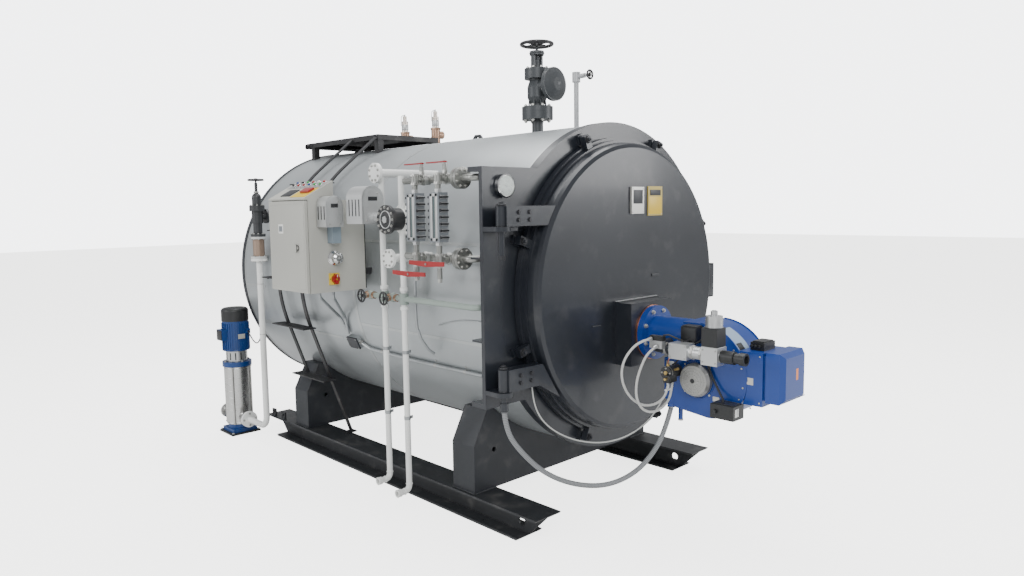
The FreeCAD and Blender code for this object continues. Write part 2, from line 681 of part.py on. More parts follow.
def make_level_levers():
    for i, y in enumerate(gauge_y):
        eye = rod((upper_lever_x, back(y), upper_lever_z), Z, 15, lever_t)
        bar = box(upper_lever_x - 11, upper_lever_x + 11, back(y), back(y) + upper_lever_len, upper_lever_z,
                  upper_lever_z + lever_t)
        hole = rod((upper_lever_x, back(y), upper_lever_z - 1), Z, lever_stem_r + wheel_gap, lever_t + 2)
        save(f"upper_lever_{i + 1}", fuse(eye, bar).cut(hole))
        x, z = lower_lever_x[i], lower_lever_z[i]
        half = lower_lever_half
        flat = plate([(x, back(y) - half, z - 6), (x, back(y), z - 15), (x, back(y) + half, z - 6),
                      (x, back(y) + half, z + 16), (x, back(y), z + 15), (x, back(y) - half, z + 16)],
                     V(-1, 0, 0), lever_t)
        hole = rod((x - 20, back(y), z), X, lever_stem_r + wheel_gap, 40)
        save(f"lower_lever_{i + 1}", flat.cut(hole))


def make_drains():
    pipes = []
    chamber_x, chamber_y, chamber_z = chamber_at
    for y, end_z in zip(drain_y, drain_end_z):
        foot = (drain_x - drain_reach, back(y), end_z)
        line = [(drain_x, back(y), drain_top), (drain_x, back(y), end_z), foot]
        pipe = fuse(bent(line, 34, drain_r), rod((drain_x - drain_reach, back(y), end_z), X, drain_r + 5, 26))
        bore = rod((drain_x - drain_reach - 1, back(y), end_z), X, drain_bore_r, 49)
        pipe = pipe.cut(bore)
        pipes.append(pipe)
    first, second = pipes
    nozzle = off_shell(rod((column_flange_x, back(drain_y[0]), drain_top + 24), X, 25, 900))
    flange = rod((column_flange_x, back(drain_y[0]), drain_top + 24), X, 60, 22)
    first = fuse(first, nozzle, flange)
    side = off_shell(rod((column_flange_x, back(806), 1578), X, 25, 900))
    side = fuse(side, rod((column_flange_x, back(806), 1578), X, 56, 20), rod((drain_x, back(806), 1578), Y, 14, 102))
    side = side.cut(rod((drain_x, back(drain_y[0]), 1000), Z, drain_r + seat, 900))
    face = rod((chamber_x - 118, back(chamber_y), chamber_z), X, 84, 22)
    chamber = fuse(face, rod((chamber_x - 100, back(chamber_y), chamber_z), X, chamber_r, 150),
                   rod((chamber_x + 6, back(chamber_y), chamber_z), X, 92, 24))
    save("drain_pipes", first, *second.cut(chamber).Solids, side, chamber)


def make_manifold():
    z = manifold_z
    end = back(drain_valve_y[0])
    pipe = bent([(-800, back(header_start[0]), z), (drain_x, back(header_start[0]), z), (drain_x, end, z)], 40,
                manifold_r)
    pipe = off_shell(pipe)
    for y in drain_y:
        pipe = fuse(pipe, rod((drain_x, back(y), z - 34), Z, 27, 68))
    for y in drain_valve_y:
        pipe = fuse(pipe, Part.makeSphere(29, V(drain_x, back(y), z)),
                    rod((drain_wheel_x + 14, back(y), z), X, 14, drain_x - drain_wheel_x - 14),
                    rod((drain_wheel_x - 16, back(y), z), X, 5, drain_x - drain_wheel_x))
    for y in drain_y:
        pipe = pipe.cut(rod((drain_x, back(y), z - 60), Z, drain_r + seat, 120))
    save("drain_manifold", *pipe.Solids)
    for i, y in enumerate(drain_valve_y):
        wheel = handwheel((drain_wheel_x, back(y), z), X, Y, drain_wheel_r, 6, 12, 4)
        save(f"drain_handwheel_{i + 1}", wheel.cut(rod((drain_wheel_x - 50, back(y), z), X, 5 + wheel_gap, 100)))


# ---- feed line and pump ----
feed_x = -1046.0
feed_y = shell_len - 332.0
feed_r = 24.0
feed_flange_r = 62.0
feed_joint_z = (1500.0, 1672.0, 1755.0)
feed_outlet_z = 1850.0
feed_top = 2090.0
feed_wheel_z, feed_wheel_r = 2112.0, 62.0
pump_x = -1030.0
pump_y = feed_y + 540.0       # the pump keeps its place beside the feed line
pump_port_z = 146.0
pump_port_y = pump_y - 210.0
pump_base = 125.0
pump_foot_z = (14.0, 82.0)
pump_sleeve_r, pump_sleeve_z = 104.0, (82.0, 572.0)
pump_collar_z = (572.0, 612.0)
pump_lantern_top = 704.0
pump_motor_r = 106.0
pump_motor_z = (704.0, 956.0, 1065.0)


def make_feed_line():
    y = back(feed_y)
    z0, z1, z2 = feed_joint_z
    port = back(pump_port_y)
    pipe = bent([(feed_x, port, pump_port_z), (feed_x, y, pump_port_z), (feed_x, y, z0)], 90, feed_r, feed_r - 4)
    pipe = fuse(pipe, tube((feed_x, port - 20, pump_port_z), Y, 66, feed_r - 4, 20),
                tube((feed_x, y, z0 - 18), Z, feed_flange_r, feed_r - 4, 18))
    save("feed_pipe", off_shell(pipe))
    check = fuse(rod((feed_x, y, z0 + flange_joint), Z, feed_flange_r, 18), rod((feed_x, y, z0 + 10), Z, 44, 150),
                 rod((feed_x, y, z1 - 18), Z, 56, 18))
    base = z1 + flange_joint
    body = fuse(rod((feed_x, y, base), Z, 56, 20), rod((feed_x, y, base), Z, 34, z2 - base + 40),
                rod((feed_x, y, z2 + 20), Z, 42, feed_outlet_z - z2 + 20),
                rod((feed_x, y, feed_outlet_z + 20), Z, 58, 44), rod((feed_x, y, feed_outlet_z + 60), Z, 36, 66),
                Part.makeSphere(36, V(feed_x, y, feed_outlet_z + 126)),
                rod((feed_x, y, feed_outlet_z + 120), Z, 12, feed_top - feed_outlet_z - 120),
                rod((feed_x, y, feed_top - 8), Z, 7, feed_wheel_z + 22 - feed_top))
    outlet = off_shell(rod((feed_x, y, feed_outlet_z - 20), X, 26, 500))
    outlet_flange = rod((feed_x + 62, y, feed_outlet_z - 20), X, 56, 20)
    save("feed_valve", check, fuse(body, outlet, off_shell(outlet_flange)))
    wheel = handwheel((feed_x, y, feed_wheel_z), Z, X, feed_wheel_r, 8, 16, 4)
    save("feed_handwheel", wheel.cut(rod((feed_x, y, feed_wheel_z - 40), Z, 7 + wheel_gap, 80)))


def make_pump():
    y = back(pump_y)
    foot_low, foot_high = pump_foot_z
    w = pump_base
    base = fuse(box(pump_x - w, pump_x + w, y - w, y + w, 0, foot_low),
                box(pump_x - w + 22, pump_x + w - 22, y - w + 22, y + w - 22, foot_low, 46),
                rod((pump_x, y, 40), Z, 94, foot_high - 40))
    save("pump_foot", base)
    sleeve_low, sleeve_high = pump_sleeve_z
    sleeve = rod((pump_x, y, sleeve_low + seat), Z, pump_sleeve_r, sleeve_high - sleeve_low - seat)
    port = back(pump_port_y) + seat
    for start, length in ((port, y - port), (y, y - port)):
        sleeve = fuse(sleeve, rod((feed_x, start, pump_port_z), Y, 34, length))
    sleeve = fuse(sleeve, rod((feed_x, port, pump_port_z), Y, 60, 22),
                  rod((feed_x, 2 * y - port - 22, pump_port_z), Y, 60, 22))
    sleeve = sleeve.cut(rod((feed_x, 2 * y - port - 60, pump_port_z), Y, 22, 61))
    save("pump_sleeve", sleeve)
    low, cap_z, top = pump_motor_z
    collar_low, collar_high = pump_collar_z
    head = fuse(rod((pump_x, y, collar_low + seat), Z, 118, collar_high - collar_low - seat),
                rod((pump_x, y, collar_high - 1), Z, 82, low - collar_high + 2))
    motor = fuse(rod((pump_x, y, low + 1 + seat), Z, pump_motor_r, cap_z - low - 1),
                 box(pump_x - pump_motor_r - 34, pump_x - 40, y - 50, y + 50, low + 96, low + 186))
    motor = fuse(motor, box(pump_x + 40, pump_x + 80, y - pump_motor_r - 4, y - 60, 850, 890))
    cover = rod((pump_x, y, cap_z + seat), Z, pump_motor_r + 4, top - cap_z)
    rim = [e for e in cover.Edges if e.BoundBox.ZMin > cover.BoundBox.ZMax - 0.1]
    save("pump_motor", head, motor, cover.makeFillet(26, rim))


def make_pressure_gauge():
    x, z = -974.0, 1982.0
    y = back(0) - seat
    dial = turned([(0, 0), (56, 0), (62, -6), (62, -30), (56, -34), (54, -27), (0, -27)], (x, y, z), Y, X)
    save("pressure_gauge", dial)


# ---- front door and what rides on it ----
door_r = 905.0
door_out = 145.0           # front face, in front of the ring
door_face_r = 838.0
door_wall = 12.0
door_profile = ((door_r, 8), (door_r, 40), (888, 40), (888, 74), (873, 74), (868, 112), (859, 134))
adapter_half_w, adapter_z = 205.0, (930.0, 1300.0)
adapter_out = 262.0
neck_flange_out = 305.0
neck_flange_r = 160.0
neck_r = 102.0
neck_end = 562.0
blast_r, blast_wall = 130.0, 8.0
blast_in = 260.0
door_hole_r = 150.0
arm_y = (60.0, 130.0)
arm_hub_r = 30.0
pin_tails = (150.0, 40.0)      # hinge pins hanging below the lugs
gland_low = arm_z[1][0] - lug_t - pin_tails[1] - 40


def door_envelope(grow):
    profile = [(r + grow, -out) for r, out in door_profile] + [(door_face_r + grow, -door_out - grow),
                                                              (0, -door_out - grow), (0, -8)]
    return turned(profile, (0, back(0), axis_z), Y, X)


def make_door():
    cup = door_envelope(0)
    cup = cup.cut(rod((0, back(-door_out + door_wall), axis_z), Y, door_face_r - 8, door_out))
    cup = cup.cut(rod((0, back(-door_out - 1), burner_z), Y, door_hole_r, door_wall + 3))
    save("front_door", cup)
    lining = rod((0, back(-door_out + door_wall + seat), axis_z), Y, door_face_r - 8 - seat,
                 door_out - door_wall - seat - 12)
    save("door_lining", lining.cut(rod((0, back(-door_out), burner_z), Y, blast_r + 3, door_out)))


def make_hinge_arms():
    y0, y1 = back(-arm_y[1]), back(-arm_y[0])
    solids = []
    for i, (low, high) in enumerate(arm_z):
        if i == 0:
            arm = box(hinge_x, -680, y0, y1, low, high)
        else:
            outline = [(hinge_x, low), (hinge_x, high), (-816, high - 4), (-681, 818), (-841, low)]
            arm = plate([(x, y0, z) for x, z in outline], Y, y1 - y0)
        hub = rod((hinge_x, hinge_y, low), Z, arm_hub_r, high - low)
        tail = pin_tails[i]
        pin = rod((hinge_x, hinge_y, low - lug_t - tail), Z, hinge_pin_r, tail + lug_t + 1)
        solids.append(fuse(arm.cut(door_envelope(seat)), hub, pin))
    gland = rod((hinge_x, hinge_y, gland_low), Z, 22, 44)
    save("hinge_arms", solids[0], fuse(solids[1], gland))


def make_clamps():
    half = clamp_w / 2
    near, far = clamp_lug_out
    bolt_r = sum(clamp_boss) / 2 - 4
    lugs = []
    for angle in clamp_angles:
        lug = box(*clamp_lug, back(-far), back(-near), -half, half)
        bolt = rod((bolt_r, back(-far - 20), 0), Y, 11, far + 20 - near)
        lugs.append(at_angle(fuse(lug, bolt), angle).cut(door_envelope(seat)))
    save("door_clamps", *lugs)


def make_door_fittings():
    face = back(-door_out) - seat
    bracket = box(-62, 60, face - 14, face, 1820, 1980)
    label = box(112, 262, face - 6, face, 1806, 1985)
    latch = box(852, 946, back(-112), back(-15), 1228, 1462).cut(door_envelope(seat))
    save("door_boxes", bracket, label, *latch.Solids)


volute_y, volute_z = -660.0, 930.0
volute_r = 290.0
volute_low_r = 230.0
volute_half_w = 130.0
air_box_y = (1150.0, 1052.0, 1036.0, 880.0)
air_box_z = (842.0, 1106.0)


def make_burner():
    adapter = box(-adapter_half_w, adapter_half_w, back(-adapter_out), back(-door_out) - seat, *adapter_z)
    adapter = adapter.cut(rod((0, back(-adapter_out - 1), burner_z), Y, blast_r + seat, 200))
    save("burner_adapter", adapter)
    flange = rod((0, back(-neck_flange_out), burner_z), Y, neck_flange_r, neck_flange_out - adapter_out - seat)
    neck = rod((0, back(-neck_end), burner_z), Y, neck_r, neck_end - neck_flange_out + 5)
    tube_len = adapter_out + blast_in
    blast = rod((0, back(-adapter_out) - seat - 1, burner_z), Y, blast_r, tube_len + 1)
    head = fuse(flange, neck, blast)
    head = head.cut(rod((0, back(-adapter_out + 20), burner_z), Y, blast_r - blast_wall, tube_len))
    save("burner_head", head)

    def yz(dy, z):
        return V(-volute_half_w, back(dy), z)

    top, front = yz(volute_y, volute_z + volute_r), yz(volute_y - volute_r, volute_z)
    mid_top = yz(volute_y - volute_r * math.sin(math.pi / 4), volute_z + volute_r * math.cos(math.pi / 4))
    low_y = volute_y - volute_r + volute_low_r
    bottom = yz(low_y, volute_z - volute_low_r)
    mid_low = yz(low_y - volute_low_r * math.sin(math.pi / 4), volute_z - volute_low_r * math.cos(math.pi / 4))
    rest = [bottom, yz(-520, 722), yz(-440, 768), yz(-440, 1000), yz(-neck_end - seat, 1008),
            yz(-neck_end - seat, volute_z + volute_r), top]
    edges = [Part.Arc(top, mid_top, front).toShape(), Part.Arc(front, mid_low, bottom).toShape()]
    edges += [Part.LineSegment(a, b).toShape() for a, b in zip(rest, rest[1:])]
    volute = Part.Face(Part.Wire(edges)).extrude(X * 2 * volute_half_w)
    volute = volute.cut(rod((0, back(-neck_end), burner_z), Y, neck_r + seat, 200))
    glands = [rod((-112, back(-476), 716), Z, 22, 60), rod((-60, back(-505), 640), Z, 13, 120)]
    save("burner_fan_housing", fuse(volute, *glands))

    front_y, step_y, groove_y, start_y = (back(-d) for d in air_box_y)
    z0, z1 = air_box_z
    half = volute_half_w - 2
    end = box(-half, half, front_y, step_y, z0, z1)
    end = end.makeChamfer(24, [e for e in end.Edges if abs(e.BoundBox.YMin - front_y) < 0.1
                               and abs(e.BoundBox.YMax - front_y) < 0.1])
    middle = box(-half, half, groove_y, start_y, z0 - 26, z1 - 8)
    volute_clear = rod((-half - 1, back(volute_y), volute_z), X, volute_r + seat, 2 * half + 2)
    air = fuse(end, box(-half + 14, half - 14, step_y - 1, groove_y + 1, z0 + 8, z1 - 22), middle.cut(volute_clear))
    save("burner_air_box", *air.Solids)


gas_x, gas_z = -272.0, 1086.0
gas_pipe_r = 27.0
gas_start, gas_end = 455.0, 1022.0
gas_bore_r = 22.0


def make_gas_train():
    wall_x = -neck_r - 1
    pipe = bent([(wall_x + 40, back(-gas_start), gas_z), (gas_x, back(-gas_start), gas_z),
                 (gas_x, back(-gas_end), gas_z)], 58, gas_pipe_r)
    pipe = pipe.cut(rod((0, back(-600), burner_z), Y, neck_r + seat, 400))
    pipe = pipe.cut(rod((gas_x, back(-gas_end) - 1, gas_z), Y, gas_bore_r, 61))
    train = fuse(pipe, box(gas_x - 42, gas_x + 42, back(-700), back(-590), gas_z - 42, gas_z + 42),
                 box(gas_x - 48, gas_x + 46, back(-885), back(-790), gas_z - 48, gas_z + 46),
                 rod((gas_x, back(-790), gas_z), Y, 34, 92), rod((gas_x, back(-960), gas_z), Y, 34, 76),
                 rod((gas_x, back(-gas_end), gas_z), Y, 33, 30)
                 .cut(rod((gas_x, back(-gas_end) - 1, gas_z), Y, gas_bore_r, 40)))
    block = box(-335, gas_x - gas_pipe_r + 1, back(-560), back(-480), 1092, 1160)
    train = fuse(train, block)
    low = gas_z + 46 + seat
    actuator = fuse(box(gas_x - 46, gas_x + 42, back(-882), back(-792), low, low + 100),
                    rod((gas_x, back(-838), low + 100), Z, 44, 62), rod((gas_x, back(-838), low + 161), Z, 18, 26))
    save("gas_train", train, actuator)


def make_burner_parts():
    side = -volute_half_w - seat
    cover = turned([(0, 0), (94, 0), (94, -26), (82, -44), (0, -52)], (side, back(-655), 905), X, Z)
    control = box(-205, side, back(-690), back(-595), 1118, 1206)
    oil_pump = fuse(rod((-240, back(-524), 940), X, 36, side + 240), box(-262, -188, back(-560), back(-522), 890, 930))
    servo = box(-238, side, back(-935), back(-800), 742, 818)
    terminal_z = air_box_z[1] - 8 + seat
    terminal = box(-60, 60, back(-1008), back(-930), terminal_z, terminal_z + 42)
    save("burner_controls", cover, control, oil_pump, servo, terminal)


# ---- hanging leads: routes as (x, distance behind the ring's front, z) ----
conduit_r = 14.0
conduit_route = [(hinge_x, -88, gland_low - 1.4), (-1062, -91, 700), (-985, -122, 575), (-860, -174, 438),
                 (-690, -242, 345), (-500, -318, 308), (-330, -385, 355), (-215, -432, 462), (-148, -462, 590),
                 (-113.2, -475.4, 711.6)]
wire_r = 4.0
wire_route = [(-868, -95, arm_z[1][0] - 0.4), (-864, -97, 845), (-838, -106, 752), (-778, -122, 672),
              (-694, -160, 606), (-595, -209, 561), (-490, -262, 540), (-388, -314, 549), (-296, -360, 584),
              (-222, -397, 640), (-172, -421, 704), (-150, -444, 765)]
hose_r = 7.0
hose_1_route = [(-243, -541, 889.2), (-248, -538, 828), (-300, -511, 773), (-385, -472, 770), (-462, -437, 830),
                (-506, -417, 930), (-497, -421, 1030), (-440, -452, 1112), (-385, -487, 1141), (-336.6, -497, 1143)]
hose_2_route = [(-206, -541, 889.2), (-212, -543, 822), (-262, -537, 762), (-345, -520, 735), (-425, -500, 760),
                (-470, -489, 835), (-468, -490, 925), (-435, -499, 1010), (-396, -516, 1080), (-339.2, -533, 1108)]
pump_cable_r = 5.0
pump_cable_route = [(-970, feed_y + 427, 866), (-976, feed_y + 368, 826), (-988, feed_y + 292, 800),
                    (-1006, feed_y + 210, 795), (-1022, feed_y + 134, 814), (-1034, feed_y + 76, 852),
                    (-1042, feed_y + 27.4, 896)]


def placed(route):
    return [(x, back(d), z) for x, d, z in route]


def make_cords():
    cord("burner_conduit", placed(conduit_route), conduit_r)
    cord("signal_wire", placed(wire_route), wire_r)
    cord("oil_hose_1", placed(hose_1_route), hose_r)
    cord("oil_hose_2", placed(hose_2_route), hose_r)
    cord("pump_cable", placed(pump_cable_route), pump_cable_r)


# ---- conduits clipped along the cladding, as (angle from the top towards -X, distance) ----
clip_r = shell_r + 16.0
shell_conduit_r = 9.0


def on_shell(angle_deg, distance, radius=clip_r):
    x, z = around(math.radians(angle_deg), radius)
    return (x, back(distance), z)


def make_shell_conduits():
    box_angle, box_at = 114.0, 1545.0
    junction = box(-40, 40, back(box_at) - 60, back(box_at) + 60, 0, 46)
    turn = FreeCAD.Rotation(Y, -box_angle)
    junction.Placement = FreeCAD.Placement(V(0, 0, axis_z), turn).multiply(
        FreeCAD.Placement(V(0, 0, shell_r - 2), FreeCAD.Rotation()))
    conduits = off_shell(junction)
    low = cabinet_z[0] - seat
    for x, start, angle, end in ((-1180, 1560, 97, 1690), (-1130, 1470, 97, 1640)):
        route = [(x, back(start), low), (x, back(start), low - 70), on_shell(104, (start + end) / 2 + 30),
                 on_shell(111, box_at + 61)]
        conduits = fuse(conduits, off_shell(bent(route, 36, 10)))
    run = [on_shell(114, box_at - 50), on_shell(116.5, 1400), on_shell(117.5, 900), on_shell(117.5, 270)]
    save("shell_conduits", fuse(conduits, bent(run, 90, 12)))


make_shell()
make_front_ring()
make_hinge_plate()
make_furnace()
make_rear()
make_skids()
make_saddles()
make_platform()
make_ladder()
make_steam_valve()
make_vent()
make_safety_valves()
make_lifting_lugs()
make_cabinet()
make_cabinet_fittings()
make_switch_housings()
make_level_headers()
make_level_gauges()
make_level_levers()
make_drains()
make_manifold()
make_feed_line()
make_pump()
make_pressure_gauge()
make_door()
make_hinge_arms()
make_clamps()
make_door_fittings()
make_burner()
make_gas_train()
make_burner_parts()
make_cords()
make_shell_conduits()
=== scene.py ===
import math

import bmesh
import bpy
from mathutils import Matrix, Vector


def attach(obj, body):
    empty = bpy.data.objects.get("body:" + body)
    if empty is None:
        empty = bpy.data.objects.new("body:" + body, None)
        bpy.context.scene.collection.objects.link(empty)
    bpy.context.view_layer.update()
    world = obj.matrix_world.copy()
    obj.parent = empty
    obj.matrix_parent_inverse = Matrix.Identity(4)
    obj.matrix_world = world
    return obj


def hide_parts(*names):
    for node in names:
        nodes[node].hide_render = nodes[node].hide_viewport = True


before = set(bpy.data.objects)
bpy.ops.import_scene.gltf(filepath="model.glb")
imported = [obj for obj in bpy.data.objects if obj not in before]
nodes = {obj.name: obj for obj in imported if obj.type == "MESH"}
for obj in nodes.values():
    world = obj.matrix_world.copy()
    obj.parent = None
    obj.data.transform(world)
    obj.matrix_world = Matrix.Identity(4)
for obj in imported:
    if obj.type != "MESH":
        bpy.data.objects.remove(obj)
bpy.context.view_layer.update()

# Height of the shell's axis, and where the feed line stands.
axisZ = 1.375
feedX, feedDistance = -1.046, 2700


def show(thing):
    bpy.context.scene.collection.objects.link(thing)


def corners(across, up):
    # The four corners of a rectangle about the origin.
    return (-across, -up), (-across, up), (across, -up), (across, up)


def back(millimetres):
    # Metres along Y, from a distance behind the front ring's face.
    return (millimetres - 1450.0) / 1000.0


def route(points):
    # Points in metres, from (x, distance behind the ring's face, z) in millimetres.
    return [(x / 1000, back(d), z / 1000) for x, d, z in points]


# Camera.
cameraSetup = {
    "place": (-3.7089, -4.3098, 1.8689), "yaw": 43.584, "pitch": 5.571, "roll": -0.890,
    "lens": 26.28, "shiftX": 0.00967, "shiftY": -0.00734,
}


def makeCamera(c):
    yaw, pitch, roll = (math.radians(c[k]) for k in ("yaw", "pitch", "roll"))
    forward = Vector((math.sin(yaw) * math.cos(pitch), math.cos(yaw) * math.cos(pitch), -math.sin(pitch)))
    right = Vector((math.cos(yaw), -math.sin(yaw), 0))
    up = right.cross(forward)
    turnedRight = right * math.cos(roll) + up * math.sin(roll)
    turnedUp = turnedRight.cross(forward)
    data = bpy.data.cameras.new("camera")
    data.lens, data.sensor_width = c["lens"], 36.0
    data.shift_x, data.shift_y = c["shiftX"], c["shiftY"]
    camera = bpy.data.objects.new("camera", data)
    axes = Matrix((turnedRight, turnedUp, -forward)).transposed().to_4x4()
    camera.matrix_world = Matrix.Translation(c["place"]) @ axes
    show(camera)
    bpy.context.scene.camera = camera


makeCamera(cameraSetup)
print("camera OK")


# Shader maths.
class Value:
    # A shader socket whose sums and products add Math nodes.

    def __init__(self, finish, socket):
        self.finish, self.socket = finish, socket

    def calc(self, operation, *others):
        return self.finish.node("ShaderNodeMath", {"operation": operation}, [self, *others])

    def __add__(self, other):
        return self.calc("ADD", other)

    def __sub__(self, other):
        return self.calc("SUBTRACT", other)

    def __rsub__(self, other):
        return self.calc("MULTIPLY", -1.0).calc("ADD", other)

    def __mul__(self, other):
        return self.calc("MULTIPLY", other)

    def __gt__(self, other):
        return self.calc("GREATER_THAN", other)

    def __lt__(self, other):
        return self.calc("LESS_THAN", other)

    def __pow__(self, other):
        return self.calc("POWER", other)

    def within(self, low, high):
        return (self > low) * (self < high)

    def rate(self, low, high):
        # 0 at low and 1 at high, smoothly between.
        return self.finish.node("ShaderNodeMapRange", {"interpolation_type": "SMOOTHSTEP"},
                                [self, low, high, 0.0, 1.0])

    __radd__, __rmul__ = __add__, __mul__


class Finish:
    # One node material. node() adds any node: type, settings, then sockets by place or by name.

    def __init__(self, name):
        self.material = bpy.data.materials.new(name)
        self.material.use_nodes = True
        self.tree = self.material.node_tree
        self.tree.nodes.clear()
        self.shader = self.tree.nodes.new("ShaderNodeBsdfPrincipled")
        output = self.tree.nodes.new("ShaderNodeOutputMaterial")
        self.tree.links.new(self.shader.outputs[0], output.inputs[0])
        coordinates = self.tree.nodes.new("ShaderNodeTexCoord")
        self.place = Value(self, coordinates.outputs["Object"])
        parts = self.tree.nodes.new("ShaderNodeSeparateXYZ")
        self.tree.links.new(coordinates.outputs["Object"], parts.inputs[0])
        self.x, self.y, self.z = (Value(self, s) for s in parts.outputs)

    def join(self, socket, value):
        if isinstance(value, Value):
            self.tree.links.new(value.socket, socket)
        elif value is not None:
            socket.default_value = value

    def node(self, kind, settings, inputs, out=0):
        made = self.tree.nodes.new(kind)
        for key, setting in settings.items():
            setattr(made, key, setting)
        pairs = inputs.items() if isinstance(inputs, dict) else enumerate(inputs)
        for key, value in pairs:
            self.join(made.inputs[key], value)
        return Value(self, made.outputs[out])

    def noise(self, scale, detail=3.0, stretch=(1.0, 1.0, 1.0)):
        place = self.node("ShaderNodeMapping", {}, {"Vector": self.place, "Scale": stretch})
        return self.node("ShaderNodeTexNoise", {}, {"Vector": place, "Scale": scale, "Detail": detail})

    def blend(self, mask, first, second):
        # Colour first where mask is 0, second where it is 1.
        made = self.tree.nodes.new("ShaderNodeMix")
        made.data_type = "RGBA"
        self.join(made.inputs["Factor"], mask)
        for socket, value in ((made.inputs[6], first), (made.inputs[7], second)):
            self.join(socket, value if isinstance(value, Value) else (*value, 1.0))
        return Value(self, made.outputs[2])


dustColour = (0.42, 0.40, 0.37)


def makeFinish(name, colour, rough, metal=0.0, vary=0.12, grain=60.0, depth=0.0, stretch=(1, 1, 1), coat=0.0,
               dust=0.0, zones=(), alpha=None):
    # A finish with mottled colour and gloss, a fine surface, and zones that hold another colour. Each zone
    # is (mask function of x, y, z, colour, roughness, metallic).
    f = Finish(name)
    cloud = f.noise(2.3, 4.0)
    fine = f.noise(grain, 5.0, stretch)
    darker = tuple(c * (1 - vary) for c in colour)
    lighter = tuple(min(1.0, c * (1 + vary * 0.6)) for c in colour)
    shade = f.blend(cloud.rate(0.3, 0.7), darker, lighter)
    shade = f.blend(fine.rate(0.35, 0.8) * 0.35, shade, darker)
    gloss = (cloud - 0.5) * (rough * 0.35) + (fine - 0.5) * (rough * 0.3) + rough
    metallic = metal
    for mask, zoneColour, zoneRough, zoneMetal in zones:
        where = mask(f.x, f.y, f.z)
        shade = f.blend(where, shade, zoneColour)
        gloss = gloss * (1 - where) + where * zoneRough
        metallic = where * (zoneMetal - metal) + metal if not isinstance(metallic, Value) \
            else metallic * (1 - where) + where * zoneMetal
    if dust:
        shade = f.blend(f.noise(9.0, 6.0).rate(0.52, 0.8) * dust, shade, dustColour)
    f.join(f.shader.inputs["Base Color"], shade)
    f.join(f.shader.inputs["Roughness"], gloss)
    f.join(f.shader.inputs["Metallic"], metallic)
    if coat:
        f.shader.inputs["Coat Weight"].default_value = coat
        f.shader.inputs["Coat Roughness"].default_value = 0.12
    if alpha is not None:
        f.shader.inputs["Alpha"].default_value = alpha
    if depth:
        bump = f.node("ShaderNodeBump", {}, {"Strength": 0.5, "Distance": depth, "Height": fine})
        f.join(f.shader.inputs["Normal"], bump)
    return f.material


def near(a, b, first, second, radius):
    # Mask of the points less than radius from an axis through (first, second).
    return ((a - first) ** 2.0 + (b - second) ** 2.0) < radius * radius


anthracite = (0.015, 0.018, 0.024)
machineBlue = (0.006, 0.045, 0.19)
royalBlue = (0.003, 0.040, 0.24)

